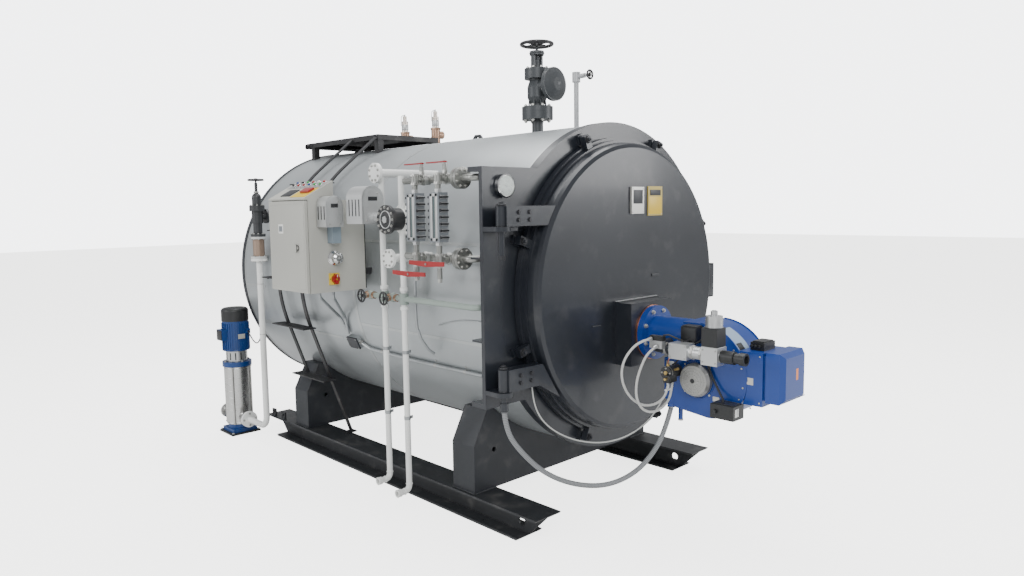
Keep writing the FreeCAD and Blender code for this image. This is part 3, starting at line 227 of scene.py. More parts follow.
finishes = {
    "cladding": makeFinish("claddingSheet", (0.40, 0.425, 0.435), 0.36, 0.55, vary=0.06, grain=260, depth=0.0006),
    "trim": makeFinish("claddingTrim", (0.46, 0.48, 0.48), 0.34, 0.7, vary=0.06, grain=300),
    "enamel": makeFinish("anthraciteEnamel", anthracite, 0.33, 0.1, vary=0.10, grain=420, depth=0.0004, coat=0.22,
                         dust=0.04),
    "flatEnamel": makeFinish("mattAnthracite", (0.020, 0.023, 0.028), 0.46, 0.0, grain=240, depth=0.0006,
                             dust=0.07),
    "skidPaint": makeFinish("skidPaint", (0.022, 0.024, 0.027), 0.45, 0.0, grain=180, depth=0.0008, dust=0.12),
    "ladderPaint": makeFinish("ladderPaint", (0.018, 0.018, 0.020), 0.50, 0.0, grain=200, depth=0.0006,
                              dust=0.12),
    "scaledSteel": makeFinish("scaledSteel", (0.10, 0.075, 0.06), 0.70, 0.6, vary=0.3, grain=40, depth=0.002),
    "refractory": makeFinish("castRefractory", (0.58, 0.53, 0.45), 0.90, 0.0, vary=0.15, grain=80, depth=0.003),
    "castGrey": makeFinish("valveEnamel", (0.045, 0.050, 0.055), 0.42, 0.15, grain=90, depth=0.0015, dust=0.05),
    "wheelBlack": makeFinish("wheelBlack", (0.020, 0.020, 0.022), 0.38, 0.1, grain=120, depth=0.0008),
    "bronze": makeFinish("bareBronze", (0.42, 0.27, 0.19), 0.40, 0.85, vary=0.18, grain=70, depth=0.0008,
                         zones=[(lambda x, y, z: z > 2.545, (0.66, 0.60, 0.54), 0.35, 0.8)]),
    "beige": makeFinish("cabinetCoat", (0.40, 0.40, 0.365), 0.42, 0.0, vary=0.04, grain=500, depth=0.0003),
    "whitePipe": makeFinish("palePrimer", (0.78, 0.79, 0.77), 0.45, 0.0, vary=0.08, grain=110, depth=0.0006,
                            dust=0.10),
    "drainPipe": makeFinish("drainPrimer", (0.78, 0.79, 0.77), 0.45, 0.0, vary=0.08, grain=110, depth=0.0006,
                            dust=0.10,
                            zones=[(lambda x, y, z: (z.within(1.70, 1.92) * near(y, z, back(725), 1.81, 0.1)
                                                     * ((x > -1.079) + (x < -1.121))),
                                    (0.022, 0.023, 0.025), 0.4, 0.1)]),
    "greenPipe": makeFinish("greyGreenPaint", (0.25, 0.30, 0.27), 0.42, 0.0, vary=0.08, grain=110, depth=0.0006),
    "gaugeGrey": makeFinish("gaugeGrey", (0.23, 0.25, 0.27), 0.45, 0.3, grain=90, depth=0.001),
    "red": makeFinish("redDip", (0.30, 0.008, 0.010), 0.36, 0.0, vary=0.08, grain=60, coat=0.3),
    "aluminium": makeFinish("castAluminium", (0.52, 0.53, 0.53), 0.42, 0.75, vary=0.10, grain=130, depth=0.0012),
    "galvanised": makeFinish("galvanisedTube", (0.40, 0.42, 0.43), 0.42, 0.8, vary=0.16, grain=40),
    "stainless": makeFinish("brushedStainless", (0.60, 0.60, 0.59), 0.27, 0.95, vary=0.05, grain=160,
                            stretch=(1, 1, 0.03)),
    "chrome": makeFinish("chromedSteel", (0.72, 0.72, 0.72), 0.12, 1.0, vary=0.03, grain=60),
    "boltSteel": makeFinish("zincPlatedBolt", (0.46, 0.46, 0.44), 0.36, 0.85, vary=0.12, grain=90),
    "darkBolt": makeFinish("blackenedBolt", (0.035, 0.036, 0.04), 0.40, 0.5, vary=0.12, grain=90),
    "blue": makeFinish("blueMachineEnamel", machineBlue, 0.36, 0.0, vary=0.08, grain=160, depth=0.0006, coat=0.2),
    "burnerBlue": makeFinish("burnerEnamel", royalBlue, 0.36, 0.0, vary=0.08, grain=220, depth=0.0005, coat=0.18),
    "panelBlue": makeFinish("palePanel", (0.34, 0.46, 0.62), 0.22, 0.2, vary=0.06, grain=160, coat=0.5),
    "headerMetal": makeFinish("nickelPlatedBrass", (0.30, 0.305, 0.29), 0.36, 0.75, vary=0.14, grain=90,
                              depth=0.0008, dust=0.05),
    "brass": makeFinish("machinedBrass", (0.60, 0.44, 0.18), 0.32, 0.9, vary=0.08, grain=120),
    "blackPlastic": makeFinish("blackMouldedPlastic", (0.018, 0.019, 0.021), 0.42, 0.0, grain=400, depth=0.0004),
    "silverBlock": makeFinish("machinedAluminium", (0.55, 0.56, 0.56), 0.33, 0.85, vary=0.08, grain=150),
    "copper": makeFinish("copperSeal", (0.62, 0.26, 0.14), 0.30, 0.95, vary=0.08, grain=90),
    "paleLabel": makeFinish("blankPlate", (0.55, 0.54, 0.49), 0.35, 0.4, vary=0.04, grain=180),
    "yellow": makeFinish("yellowPlate", (0.66, 0.45, 0.03), 0.40, 0.0, vary=0.05, grain=160),
    "white": makeFinish("whiteFace", (0.74, 0.74, 0.71), 0.40, 0.0, vary=0.03, grain=160),
    "green": makeFinish("greenButton", (0.02, 0.30, 0.06), 0.30, 0.0, vary=0.04, grain=90),
    # Black rubber for cables; the same black also paints the shade in slots and openings.
    "rubberAndShade": makeFinish("blackRubberAndShade", (0.020, 0.020, 0.022), 0.60, 0.0, grain=200),
    "paleWire": makeFinish("paleSheath", (0.45, 0.46, 0.44), 0.48, 0.0, vary=0.05, grain=200),
    "gasket": makeFinish("gasketRope", (0.50, 0.48, 0.43), 0.85, 0.0, vary=0.2, grain=300, depth=0.002),
    # Soot black for the lining joints, and for the discs in the tube bores: painted shade of the deep tubes over
    # their soot.
    "sootAndShade": makeFinish("sootAndShadeBlack", (0.010, 0.009, 0.008), 0.9, 0.0, vary=0.2, grain=90),
    "glass": makeFinish("gaugeGlass", (0.55, 0.62, 0.60), 0.06, 0.0, vary=0.02, grain=20, alpha=0.35),
    "dirtyGlass": makeFinish("reflexGlass", (0.10, 0.13, 0.13), 0.12, 0.0, vary=0.2, grain=60, coat=0.6),
}
print("finishes OK")


def wovenFinish(name, colour, pitch, depth, dark):
    # A sheath or braid whose ribs follow the cord's own UV map.
    f = Finish(name)
    uv = f.node("ShaderNodeUVMap", {"uv_map": "run"}, {})
    parts = f.tree.nodes.new("ShaderNodeSeparateXYZ")
    f.tree.links.new(uv.socket, parts.inputs[0])
    along, around = Value(f, parts.outputs[0]), Value(f, parts.outputs[1])
    one = (along * (math.tau / pitch) + around * (math.tau * 8)).calc("SINE")
    two = (along * (math.tau / pitch) - around * (math.tau * 8)).calc("SINE")
    ribs = (one * two + 1.0) * 0.5 if dark else ((along * (math.tau / pitch)).calc("SINE") + 1.0) * 0.5
    shade = f.blend(ribs, tuple(c * 0.55 for c in colour), colour)
    f.join(f.shader.inputs["Base Color"], shade)
    f.join(f.shader.inputs["Roughness"], ribs * -0.15 + 0.60)
    f.join(f.shader.inputs["Normal"], f.node("ShaderNodeBump", {},
                                             {"Strength": 0.8, "Distance": depth, "Height": ribs}))
    return f.material


finishes["conduitSheath"] = wovenFinish("greyConduitSheath", (0.26, 0.27, 0.28), 0.009, 0.0015, False)
finishes["braid"] = wovenFinish("paleBraid", (0.62, 0.62, 0.60), 0.010, 0.0010, True)


# Cords.
cords = {
    "burnerConduit": {"node": "burner_conduit", "body": "door", "slot": "conduit_grey", "radius": 0.014,
                      "finish": "conduitSheath", "stiffness": "stiff",
                      "route": [(-1070, -88, 806.1), (-1062, -91, 700), (-985, -122, 575), (-860, -174, 438),
                                (-690, -242, 345), (-500, -318, 308), (-330, -385, 355), (-215, -432, 462),
                                (-148, -462, 590), (-113.2, -475.4, 711.6)]},
    "signalWire": {"node": "signal_wire", "body": "door", "slot": "wire_pale", "radius": 0.004,
                   "finish": "paleWire", "stiffness": "medium",
                   "route": [(-868, -95, 911.6), (-864, -97, 845), (-838, -106, 752), (-778, -122, 672),
                             (-694, -160, 606), (-595, -209, 561), (-490, -262, 540), (-388, -314, 549),
                             (-296, -360, 584), (-222, -397, 640), (-172, -421, 704), (-150, -444, 765)]},
    "oilHoseNear": {"node": "oil_hose_1", "body": "door", "slot": "hose_braid", "radius": 0.007,
                    "finish": "braid", "stiffness": "stiff",
                    "route": [(-243, -541, 889.2), (-248, -538, 828), (-300, -511, 773), (-385, -472, 770),
                              (-462, -437, 830), (-506, -417, 930), (-497, -421, 1030), (-440, -452, 1112),
                              (-385, -487, 1141), (-336.6, -497, 1143)]},
    "oilHoseFar": {"node": "oil_hose_2", "body": "door", "slot": "hose_braid", "radius": 0.007,
                   "finish": "braid", "stiffness": "stiff",
                   "route": [(-206, -541, 889.2), (-212, -543, 822), (-262, -537, 762), (-345, -520, 735),
                             (-425, -500, 760), (-470, -489, 835), (-468, -490, 925), (-435, -499, 1010),
                             (-396, -516, 1080), (-339.2, -533, 1108)]},
    "pumpCable": {"node": "pump_cable", "body": "plant", "slot": "cable_black", "radius": 0.005,
                  "finish": "rubberAndShade", "stiffness": "medium",
                  "route": [(-970, 3127, 866), (-976, 3068, 826), (-988, 2992, 800), (-1006, 2910, 795),
                            (-1022, 2834, 814), (-1034, 2776, 852), (-1042, 2727.4, 896)]},
}


def makeCord(name, c):
    curve = bpy.data.curves.new(name, "CURVE")
    curve.dimensions = "3D"
    spline = curve.splines.new("NURBS")
    spline.points.add(len(c["route"]) - 1)
    for point, spot in zip(spline.points, route(c["route"])):
        point.co = (*spot, 1.0)
    spline.order_u = 3
    spline.use_endpoint_u = True
    spline.resolution_u = 10
    line = bpy.data.objects.new(name + "Line", curve)
    show(line)
    path = [v.co.copy() for v in bpy.data.meshes.new_from_object(line).vertices]
    bpy.data.objects.remove(line)
    piece = sweepPath(name, path, c["radius"], 14, finishes[c["finish"]])
    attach(piece, c["body"])
    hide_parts(c["node"])
    route(c["route"])[0]
    2 * c["radius"]


def tubeRings(bm, path, radius, sides):
    # Rings of vertices round a path, each turned as little as it can be from the last.
    side = (path[1] - path[0]).normalized().orthogonal().normalized()
    rings = []
    for i, point in enumerate(path):
        ahead = (path[min(i + 1, len(path) - 1)] - path[max(i - 1, 0)]).normalized()
        side = (side - ahead * side.dot(ahead)).normalized()
        other = ahead.cross(side)
        rings.append([bm.verts.new(point + (side * math.cos(a) + other * math.sin(a)) * radius)
                      for a in (math.tau * k / sides for k in range(sides))])
    return rings


def sweepPath(name, path, radius, sides, material):
    # A tube along the path with a UV map in metres along and turns around.
    mesh = bpy.data.meshes.new(name)
    bm = bmesh.new()
    uv = bm.loops.layers.uv.new("run")
    rings, runs = tubeRings(bm, path, radius, sides), [0.0]
    for one, two in zip(path, path[1:]):
        runs.append(runs[-1] + (two - one).length)
    for i in range(len(path) - 1):
        for k in range(sides):
            n = (k + 1) % sides
            face = bm.faces.new((rings[i][k], rings[i][n], rings[i + 1][n], rings[i + 1][k]))
            for loop, spot in zip(face.loops, ((runs[i], k), (runs[i], k + 1), (runs[i + 1], k + 1),
                                               (runs[i + 1], k))):
                loop[uv].uv = (spot[0], spot[1] / sides)
            face.smooth = True
    bm.faces.new(rings[0])
    bm.faces.new(list(reversed(rings[-1])))
    bmesh.ops.recalc_face_normals(bm, faces=bm.faces)
    bm.to_mesh(mesh)
    bm.free()
    mesh.materials.append(material)
    piece = bpy.data.objects.new(name, mesh)
    show(piece)
    return piece


for cordName, cordFacts in cords.items():
    makeCord(cordName, cordFacts)
print("cords OK")


# Mesh building.
X, Y, Z = Vector((1, 0, 0)), Vector((0, 1, 0)), Vector((0, 0, 1))


def basis(axis, start=None):
    # A turn whose Z column is the axis.
    z = Vector(axis).normalized()
    x = (Vector(start) - z * z.dot(start)).normalized() if start is not None else z.orthogonal().normalized()
    return Matrix((x, z.cross(x), z)).transposed().to_4x4()


class Shape:

    def __init__(self, name, finish, slot, body="plant"):
        self.name, self.body, self.finishName, self.slot = name, body, finish, slot
        self.bm = bmesh.new()

    def block(self, low, high, bevel=0.0, turn=None):
        made = bmesh.ops.create_cube(self.bm, size=1.0)["verts"]
        low, high = Vector(low), Vector(high)
        for v in made:
            v.co = Vector([low[i] + (v.co[i] + 0.5) * (high[i] - low[i]) for i in range(3)])
        if bevel:
            edges = list({e for v in made for e in v.link_edges})
            made = bmesh.ops.bevel(self.bm, geom=edges, offset=bevel, segments=2, profile=0.6,
                                   affect="EDGES")["verts"]
        if turn is not None:
            bmesh.ops.transform(self.bm, matrix=turn, verts=made)
        return self

    def lathe(self, profile, centre, axis, sides=32, start=None):
        # Turns (radius, distance) points about the axis through centre.
        place = Matrix.Translation(Vector(centre)) @ basis(axis, start)
        rings = []
        for radius, distance in profile:
            if radius < 1e-6:
                rings.append([self.bm.verts.new(place @ Vector((0, 0, distance)))])
            else:
                rings.append([self.bm.verts.new(place @ Vector((radius * math.cos(a), radius * math.sin(a),
                        distance))) for a in (math.tau * k / sides for k in range(sides))])
        faces = []
        for one, two in zip(rings, rings[1:]):
            for k in range(sides):
                n = (k + 1) % sides
                corners = [one[k % len(one)], one[n % len(one)], two[n % len(two)], two[k % len(two)]]
                corners = [v for i, v in enumerate(corners) if v not in corners[:i]]
                if len(corners) > 2:
                    faces.append(self.bm.faces.new(corners))
        for ring in (rings[0], rings[-1]):
            if len(ring) > 2 and profile[0] != profile[-1]:
                faces.append(self.bm.faces.new(ring))
        return self

    def rod(self, start, end, radius, sides=20, soft=0.0):
        start, end = Vector(start), Vector(end)
        length = (end - start).length
        if soft:
            profile = [(0, 0), (radius - soft, 0), (radius, soft), (radius, length - soft),
                       (radius - soft, length), (0, length)]
        else:
            profile = [(0, 0), (radius, 0), (radius, length), (0, length)]
        return self.lathe(profile, start, end - start, sides)

    def peg(self, start, reach, *sizes):
        # A rod from start, as far as the reach vector.
        return self.rod(start, Vector(start) + reach, *sizes)

    def hoop(self, inner, outer, low, high, centre, axis, sides):
        # A ring of rectangular section.
        profile = [(inner, low), (outer, low), (outer, high), (inner, high), (inner, low)]
        return self.lathe(profile, centre, axis, sides)

    def ring(self, centre, axis, radius, thick, sides=48, section=10):
        # A round-section ring.
        profile = [(radius + thick * math.cos(a),
                    thick * math.sin(a)) for a in (math.tau * k / section for k in range(section))]
        return self.lathe(profile + profile[:1], centre, axis, sides)

    def sheet(self, points, offset):
        # A flat plate: outline points, thickened by the offset vector.
        low = [self.bm.verts.new(Vector(p)) for p in points]
        high = [self.bm.verts.new(Vector(p) + Vector(offset)) for p in points]
        self.bm.faces.new(low)
        self.bm.faces.new(list(reversed(high)))
        for k in range(len(low)):
            n = (k + 1) % len(low)
            self.bm.faces.new((low[n], low[k], high[k], high[n]))
        return self

    def wire(self, path, radius, sides=10):
        rings = tubeRings(self.bm, [Vector(p) for p in path], radius, sides)
        for one, two in zip(rings, rings[1:]):
            for k in range(sides):
                n = (k + 1) % sides
                self.bm.faces.new((one[k], one[n], two[n], two[k]))
        self.bm.faces.new(rings[0])
        self.bm.faces.new(list(reversed(rings[-1])))
        return self

    def add(self, mesh, place=None):
        # Adds a mesh that a node tree made.
        before = set(self.bm.verts)
        self.bm.from_mesh(mesh)
        if place is not None:
            bmesh.ops.transform(self.bm, matrix=place, verts=[v for v in self.bm.verts if v not in before])
        bpy.data.meshes.remove(mesh)
        return self

    def finish(self, bevel=0.0, angle=35.0):
        bmesh.ops.remove_doubles(self.bm, verts=self.bm.verts, dist=1e-6)
        bmesh.ops.recalc_face_normals(self.bm, faces=self.bm.faces)
        mesh = bpy.data.meshes.new(self.name)
        self.bm.to_mesh(mesh)
        self.bm.free()
        for polygon in mesh.polygons:
            polygon.use_smooth = True
            polygon.material_index = 0
        mesh.set_sharp_from_angle(angle=math.radians(angle))
        mesh.materials.clear()
        mesh.materials.append(finishes[self.finishName])
        piece = bpy.data.objects.new(self.name, mesh)
        show(piece)
        if bevel:
            soft = piece.modifiers.new("softEdges", "BEVEL")
            soft.width, soft.segments, soft.limit_method, soft.angle_limit = bevel, 2, "ANGLE", math.radians(40)
        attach(piece, self.body)
        return piece


# Node trees for what repeats.
class Growth:
    # A geometry node tree with named inputs, grown once for each set of sizes.

    def __init__(self, name, inputs):
        self.tree = bpy.data.node_groups.new(name, "GeometryNodeTree")
        self.names = {}
        for label, kind, default in inputs:
            socket = self.tree.interface.new_socket(label, in_out="INPUT", socket_type=kind)
            socket.default_value = default
            self.names[label] = socket.identifier
        self.tree.interface.new_socket("Geometry", in_out="OUTPUT", socket_type="NodeSocketGeometry")
        self.inputs = self.tree.nodes.new("NodeGroupInput")
        self.output = self.tree.nodes.new("NodeGroupOutput")

    def node(self, kind, settings=None, **links):
        made = self.tree.nodes.new(kind)
        for key, value in (settings or {}).items():
            setattr(made, key, value)
        for key, value in links.items():
            socket = made.inputs[key.replace("_", " ")]
            if hasattr(value, "is_output"):
                self.tree.links.new(value, socket)
            else:
                socket.default_value = value
        return made

    def end(self, geometry, material):
        real = self.node("GeometryNodeRealizeInstances", Geometry=geometry)
        painted = self.node("GeometryNodeSetMaterial", Geometry=real.outputs[0], Material=material)
        self.tree.links.new(painted.outputs[0], self.output.inputs[0])

    def grow(self, **sizes):
        holder = bpy.data.objects.new("grown", bpy.data.meshes.new("grown"))
        show(holder)
        modifier = holder.modifiers.new("grow", "NODES")
        modifier.node_group = self.tree
        for label, value in sizes.items():
            modifier[self.names[label]] = value
        graph = bpy.context.evaluated_depsgraph_get()
        mesh = bpy.data.meshes.new_from_object(holder.evaluated_get(graph))
        holder.modifiers.clear()
        bpy.data.objects.remove(holder)
        return mesh


def makeBoltCircle():
    # Hex heads, each on a washer and with a stud end, on a pitch circle in the XY plane.
    g = Growth("boltCircle", [("Count", "NodeSocketInt", 8), ("Pitch", "NodeSocketFloat", 0.08),
                              ("Head", "NodeSocketFloat", 0.01), ("Height", "NodeSocketFloat", 0.008)])
    given = g.inputs.outputs
    circle = g.node("GeometryNodeMeshCircle", Vertices=given["Count"], Radius=given["Pitch"])

    def scaled(label, factor):
        product = g.node("ShaderNodeMath", {"operation": "MULTIPLY"})
        g.tree.links.new(given[label], product.inputs[0])
        product.inputs[1].default_value = factor
        return product.outputs[0]

    def layer(sides, wide, tall, lift):
        radius, height = scaled("Head", wide), scaled("Height", tall)
        drum = g.node("GeometryNodeMeshCylinder", Vertices=sides, Radius=radius, Depth=height)
        offset = g.node("ShaderNodeCombineXYZ", Z=scaled("Height", lift + tall / 2))
        return g.node("GeometryNodeTransform", Geometry=drum.outputs[0], Translation=offset.outputs[0]).outputs[0]

    whole = g.node("GeometryNodeJoinGeometry")
    for part in (layer(16, 1.12, 0.2, 0.0), layer(6, 1.0, 0.8, 0.2), layer(12, 0.52, 0.5, 1.0)):
        g.tree.links.new(part, whole.inputs[0])
    spread = g.node("GeometryNodeInstanceOnPoints", Points=circle.outputs[0], Instance=whole.outputs[0])
    g.end(spread.outputs[0], finishes["boltSteel"])
    return g


def makeRow():
    # Rounded bars in a row along X: slats, fins, ribs and rivet lines.
    g = Growth("row", [("Count", "NodeSocketInt", 6), ("Step", "NodeSocketFloat", 0.01),
                       ("Size", "NodeSocketVector", (0.004, 0.02, 0.004))])
    given = g.inputs.outputs
    step = g.node("ShaderNodeCombineXYZ", X=given["Step"])
    line = g.node("GeometryNodeMeshLine", Count=given["Count"], Offset=step.outputs[0])
    bar = g.node("GeometryNodeMeshCube", Size=given["Size"])
    spread = g.node("GeometryNodeInstanceOnPoints", Points=line.outputs[0], Instance=bar.outputs[0])
    g.end(spread.outputs[0], finishes["blackPlastic"])
    return g


def makeFinRing():
    # Upright fins set round a circle, each facing outwards.
    g = Growth("finRing", [("Count", "NodeSocketInt", 24), ("Radius", "NodeSocketFloat", 0.1),
                           ("Size", "NodeSocketVector", (0.012, 0.003, 0.2))])
    given = g.inputs.outputs
    circle = g.node("GeometryNodeMeshCircle", Vertices=given["Count"], Radius=given["Radius"])
    place = g.node("GeometryNodeInputPosition")
    facing = g.node("FunctionNodeAlignRotationToVector", {"axis": "X", "pivot_axis": "Z"},
                    Vector=place.outputs[0])
    fin = g.node("GeometryNodeMeshCube", Size=given["Size"])
    spread = g.node("GeometryNodeInstanceOnPoints", Points=circle.outputs[0], Instance=fin.outputs[0],
                    Rotation=facing.outputs[0])
    g.end(spread.outputs[0], finishes["blue"])
    return g


def makeRivetLine():
    # Low domed rivet heads in a row along X.
    g = Growth("rivetLine", [("Count", "NodeSocketInt", 10), ("Step", "NodeSocketFloat", 0.1),
                             ("Radius", "NodeSocketFloat", 0.004)])
    given = g.inputs.outputs
    step = g.node("ShaderNodeCombineXYZ", X=given["Step"])
    line = g.node("GeometryNodeMeshLine", Count=given["Count"], Offset=step.outputs[0])
    head = g.node("GeometryNodeMeshUVSphere", Segments=10, Rings=6, Radius=given["Radius"])
    flat = g.node("GeometryNodeTransform", Geometry=head.outputs[0], Scale=(1.0, 1.0, 0.5))
    spread = g.node("GeometryNodeInstanceOnPoints", Points=line.outputs[0], Instance=flat.outputs[0])
    g.end(spread.outputs[0], finishes["trim"])
    return g


boltCircle, row, finRing, rivetLine = makeBoltCircle(), makeRow(), makeFinRing(), makeRivetLine()
print("node trees OK")


def bolts(shape, centre, axis, pitch, count, head=0.010, height=0.009, start=None):
    # A circle of bolt heads that stands on a face, pointing along the axis.
    place = Matrix.Translation(Vector(centre)) @ basis(axis, start) @ Matrix.Rotation(math.pi / count, 4, "Z")
    return shape.add(boltCircle.grow(Count=count, Pitch=pitch, Head=head, Height=height), place)


def strip(shape, centre, angle, start, end, wide, narrow, offset):
    # A flat strip along a line at the angle in the XZ plane, from wide at its start to narrow at its end.
    along = Vector((math.cos(angle), 0, math.sin(angle)))
    across = Vector((-math.sin(angle), 0, math.cos(angle)))
    shape.sheet([centre + along * start - across * wide, centre + along * end - across * narrow,
                 centre + along * end + across * narrow, centre + along * start + across * wide], offset)


def bars(shape, origin, along, tall, count, step, size):
    # A row of bars from the origin: the row runs along one direction and each bar stands out along another.
    along, tall = Vector(along), Vector(tall)
    turn = Matrix((along, tall.cross(along), tall)).transposed().to_4x4()
    return shape.add(row.grow(Count=count, Step=step, Size=size), Matrix.Translation(Vector(origin)) @ turn)


# Finishes of the carried-over pieces.
nodeFinish = {
    "cladding": "shell",
    "enamel": "front_ring hinge_plate front_door hinge_arms door_clamps burner_adapter",
    "scaledSteel": "furnace",
    "flatEnamel": "rear_cover saddles lifting_lugs",
    "skidPaint": "skids",
    "ladderPaint": "platform ladder cabinet_brackets",
    "castGrey": "steam_valve",
    "wheelBlack": "steam_handwheel vent_handwheel drain_handwheel_1 drain_handwheel_2 feed_handwheel",
    "ventSteel": "vent_pipe",
    "bronze": "safety_valves",
    "beige": "cabinet_box cabinet_door",
    "fittings": "cabinet_fittings",
    "red": "main_switch_knob upper_lever_1 upper_lever_2 lower_lever_1 lower_lever_2",
    "housingCast": "switch_housings",
    "headerMetal": "upper_level_header lower_level_header",
    "gaugeGrey": "level_gauges",
    "drainPipe": "drain_pipes",
    "greenPipe": "drain_manifold",
    "whitePipe": "feed_pipe",
    "feedValve": "feed_valve",
    "pumpFoot": "pump_foot",
    "stainless": "pump_sleeve",
    "pumpMotor": "pump_motor",
    "chrome": "pressure_gauge",
    "refractory": "door_lining",
    "doorBoxes": "door_boxes",
    "burnerBlue": "burner_head burner_fan_housing",
    "airBox": "burner_air_box",
    "gasTrain": "gas_train",
    "burnerControls": "burner_controls",
    "galvanised": "shell_conduits",
    "conduitSheath": "burner_conduit",
    "paleWire": "signal_wire",
    "braid": "oil_hose_1 oil_hose_2",
    "rubberAndShade": "pump_cable",
}
black, silver = (0.016, 0.017, 0.018), (0.55, 0.56, 0.56)
finishes["fittings"] = makeFinish("cabinetFittings", (0.68, 0.68, 0.68), 0.16, 0.95, vary=0.03, grain=80, zones=[
    (lambda x, y, z: z < 1.50, (0.70, 0.50, 0.03), 0.4, 0.0)])
finishes["housingCast"] = makeFinish("housingCastings", (0.52, 0.53, 0.53), 0.40, 0.75, vary=0.10, grain=130,
                                     depth=0.0012, zones=[
    (lambda x, y, z: (z < 1.768) * (x < -1.25), (0.20, 0.25, 0.29), 0.45, 0.1),
    (lambda x, y, z: (y > -0.4296) * (x > -1.25), (0.03, 0.03, 0.032), 0.45, 0.2)])
finishes["airBox"] = makeFinish("airBoxEnamel", royalBlue, 0.36, 0.0, vary=0.08, grain=220, depth=0.0005,
                                coat=0.18, zones=[
    (lambda x, y, z: x.within(0.010, 0.034) * z.within(0.955, 1.015) * (y < back(-1149.5)), (0.80, 0.22, 0.03),
     0.4, 0.0)])
finishes["ventSteel"] = makeFinish("ventPipe", (0.40, 0.41, 0.42), 0.42, 0.3, vary=0.1, grain=110, depth=0.0006)
finishes["feedValve"] = makeFinish("feedFittings", (0.035, 0.037, 0.040), 0.42, 0.1, grain=90, depth=0.0012,
                                   zones=[
    (lambda x, y, z: z.within(1.519, 1.6541) * near(x, y, feedX, back(feedDistance), 0.05), (0.30, 0.22, 0.17),
     0.45, 0.6),
    (lambda x, y, z: z.within(1.50, 1.5185) + z.within(1.6540, 1.6722), (0.52, 0.53, 0.52), 0.45, 0.1)])
finishes["pumpFoot"] = makeFinish("pumpFootEnamel", machineBlue, 0.38, 0.0, grain=120, depth=0.001, zones=[
    (lambda x, y, z: z < 0.0142, black, 0.5, 0.0)])
finishes["pumpMotor"] = makeFinish("pumpMotorEnamel", machineBlue, 0.36, 0.0, grain=160, depth=0.0006, zones=[
    (lambda x, y, z: z > 0.9562, black, 0.4, 0.1),
    (lambda x, y, z: z.within(0.6121, 0.7045), (0.06, 0.07, 0.08), 0.45, 0.3)])
finishes["doorBoxes"] = makeFinish("doorPlates", (0.55, 0.55, 0.52), 0.32, 0.6, vary=0.06, grain=160, zones=[
    (lambda x, y, z: x.within(0.11, 0.27), (0.42, 0.33, 0.10), 0.45, 0.3),
    (lambda x, y, z: x > 0.8, anthracite, 0.35, 0.1)])
finishes["gasTrain"] = makeFinish("gasTrainMetal", silver, 0.34, 0.8, vary=0.08, grain=130, depth=0.0006, zones=[
    (lambda x, y, z: (y < back(-886)) + z.within(1.1343, 1.2344), black, 0.42, 0.1),
    (lambda x, y, z: (y > back(-588)) * (x > -0.3), anthracite, 0.4, 0.1)])
finishes["burnerControls"] = makeFinish("burnerControlPlastic", black, 0.40, 0.0, grain=260, depth=0.0004, zones=[
    (lambda x, y, z: near(y, z, back(-655), 0.905, 0.096) * (x > -0.184), (0.34, 0.34, 0.33), 0.38, 0.6),
    (lambda x, y, z: near(y, z, back(-524), 0.940, 0.045), (0.06, 0.062, 0.066), 0.38, 0.5)])

for finishName, nodeNames in nodeFinish.items():
    for nodeName in nodeNames.split():
        mesh = nodes[nodeName].data
        mesh.materials.clear()
        mesh.materials.append(finishes[finishName])
        mesh.polygons.foreach_set("material_index", [0] * len(mesh.polygons))
print("node finishes OK")


# Shell: seams, rivets, edge trims and lifting lug.
shellFacts = {
    "radius": 0.991, "height": axisZ, "front": 60, "rear": 3092,
    "band": 1440, "bandWidth": 0.030, "bandRivets": 72,
    "stand": 0.0016, "seams": [(114.5, 1740, 3080), (73.0, 70, 1430), (96.0, 2740, 3080), (106.0, 80, 1420),
                               (-78.0, 1740, 3080), (-112.0, 70, 1430)],
}


def onShell(angle, distance, lift):
    # A point on the cladding: degrees from the top towards -X, and millimetres behind the ring's face.
    a = math.radians(angle)
    r = shellFacts["radius"] + lift
    return Vector((-r * math.sin(a), back(distance), shellFacts["height"] + r * math.cos(a)))


def makeSeams(s):
    centre = (0, 0, s["height"])
    trims = Shape("claddingTrims", "trim", "cladding")
    r, lift = s["radius"], s["stand"]
    for middle, half in ((s["band"], s["bandWidth"] / 2), (s["front"] + 14, 0.012), (s["rear"] - 16, 0.014)):
        y = back(middle)
        trims.hoop(r - 0.001, r + lift, y - half, y + half, centre, Y, 160)
    for angle, start, end in s["seams"]:
        spread = 0.55
        section = [onShell(angle + turn, start, rise) for turn,
                   rise in ((-spread, -0.001), (-spread, lift), (spread, lift), (spread, -0.001))]
        trims.sheet(section, Y * ((end - start) / 1000))
    trims.finish()
    rivets = Shape("claddingRivets", "trim", "cladding")
    for angle, start, end in s["seams"]:
        a = math.radians(angle)
        outward = Vector((-math.sin(a), 0, math.cos(a)))
        turn = Matrix((Y, outward.cross(Y), outward)).transposed().to_4x4()
        count = int((end - start) / 90)
        rivets.add(rivetLine.grow(Count=count, Step=0.09, Radius=0.0042),
                   Matrix.Translation(onShell(angle, start + 40, lift)) @ turn)
    rivets.add(boltCircle.grow(Count=s["bandRivets"], Pitch=r + 0.0006, Head=0.0032, Height=0.0002),
               Matrix.Translation((0, back(s["band"]), s["height"])) @ basis(Y))
    rivets.finish()
    Shape("ringEdgeTrim", "trim", "cladding").hoop(r, r + 0.004, back(61), back(66), centre, Y, 160).finish()
    weld = Shape("lugWelds", "flatEnamel", "dark_enamel")
    for distance in (1270, 2860):
        y = back(distance)
        for side in (-0.009, 0.009):
            weld.wire([(side, y - 0.05, 2.3665), (side, y, 2.3665), (side, y + 0.05, 2.3665)], 0.004, 8)
    weld.finish()


makeSeams(shellFacts)
print("shell trims OK")

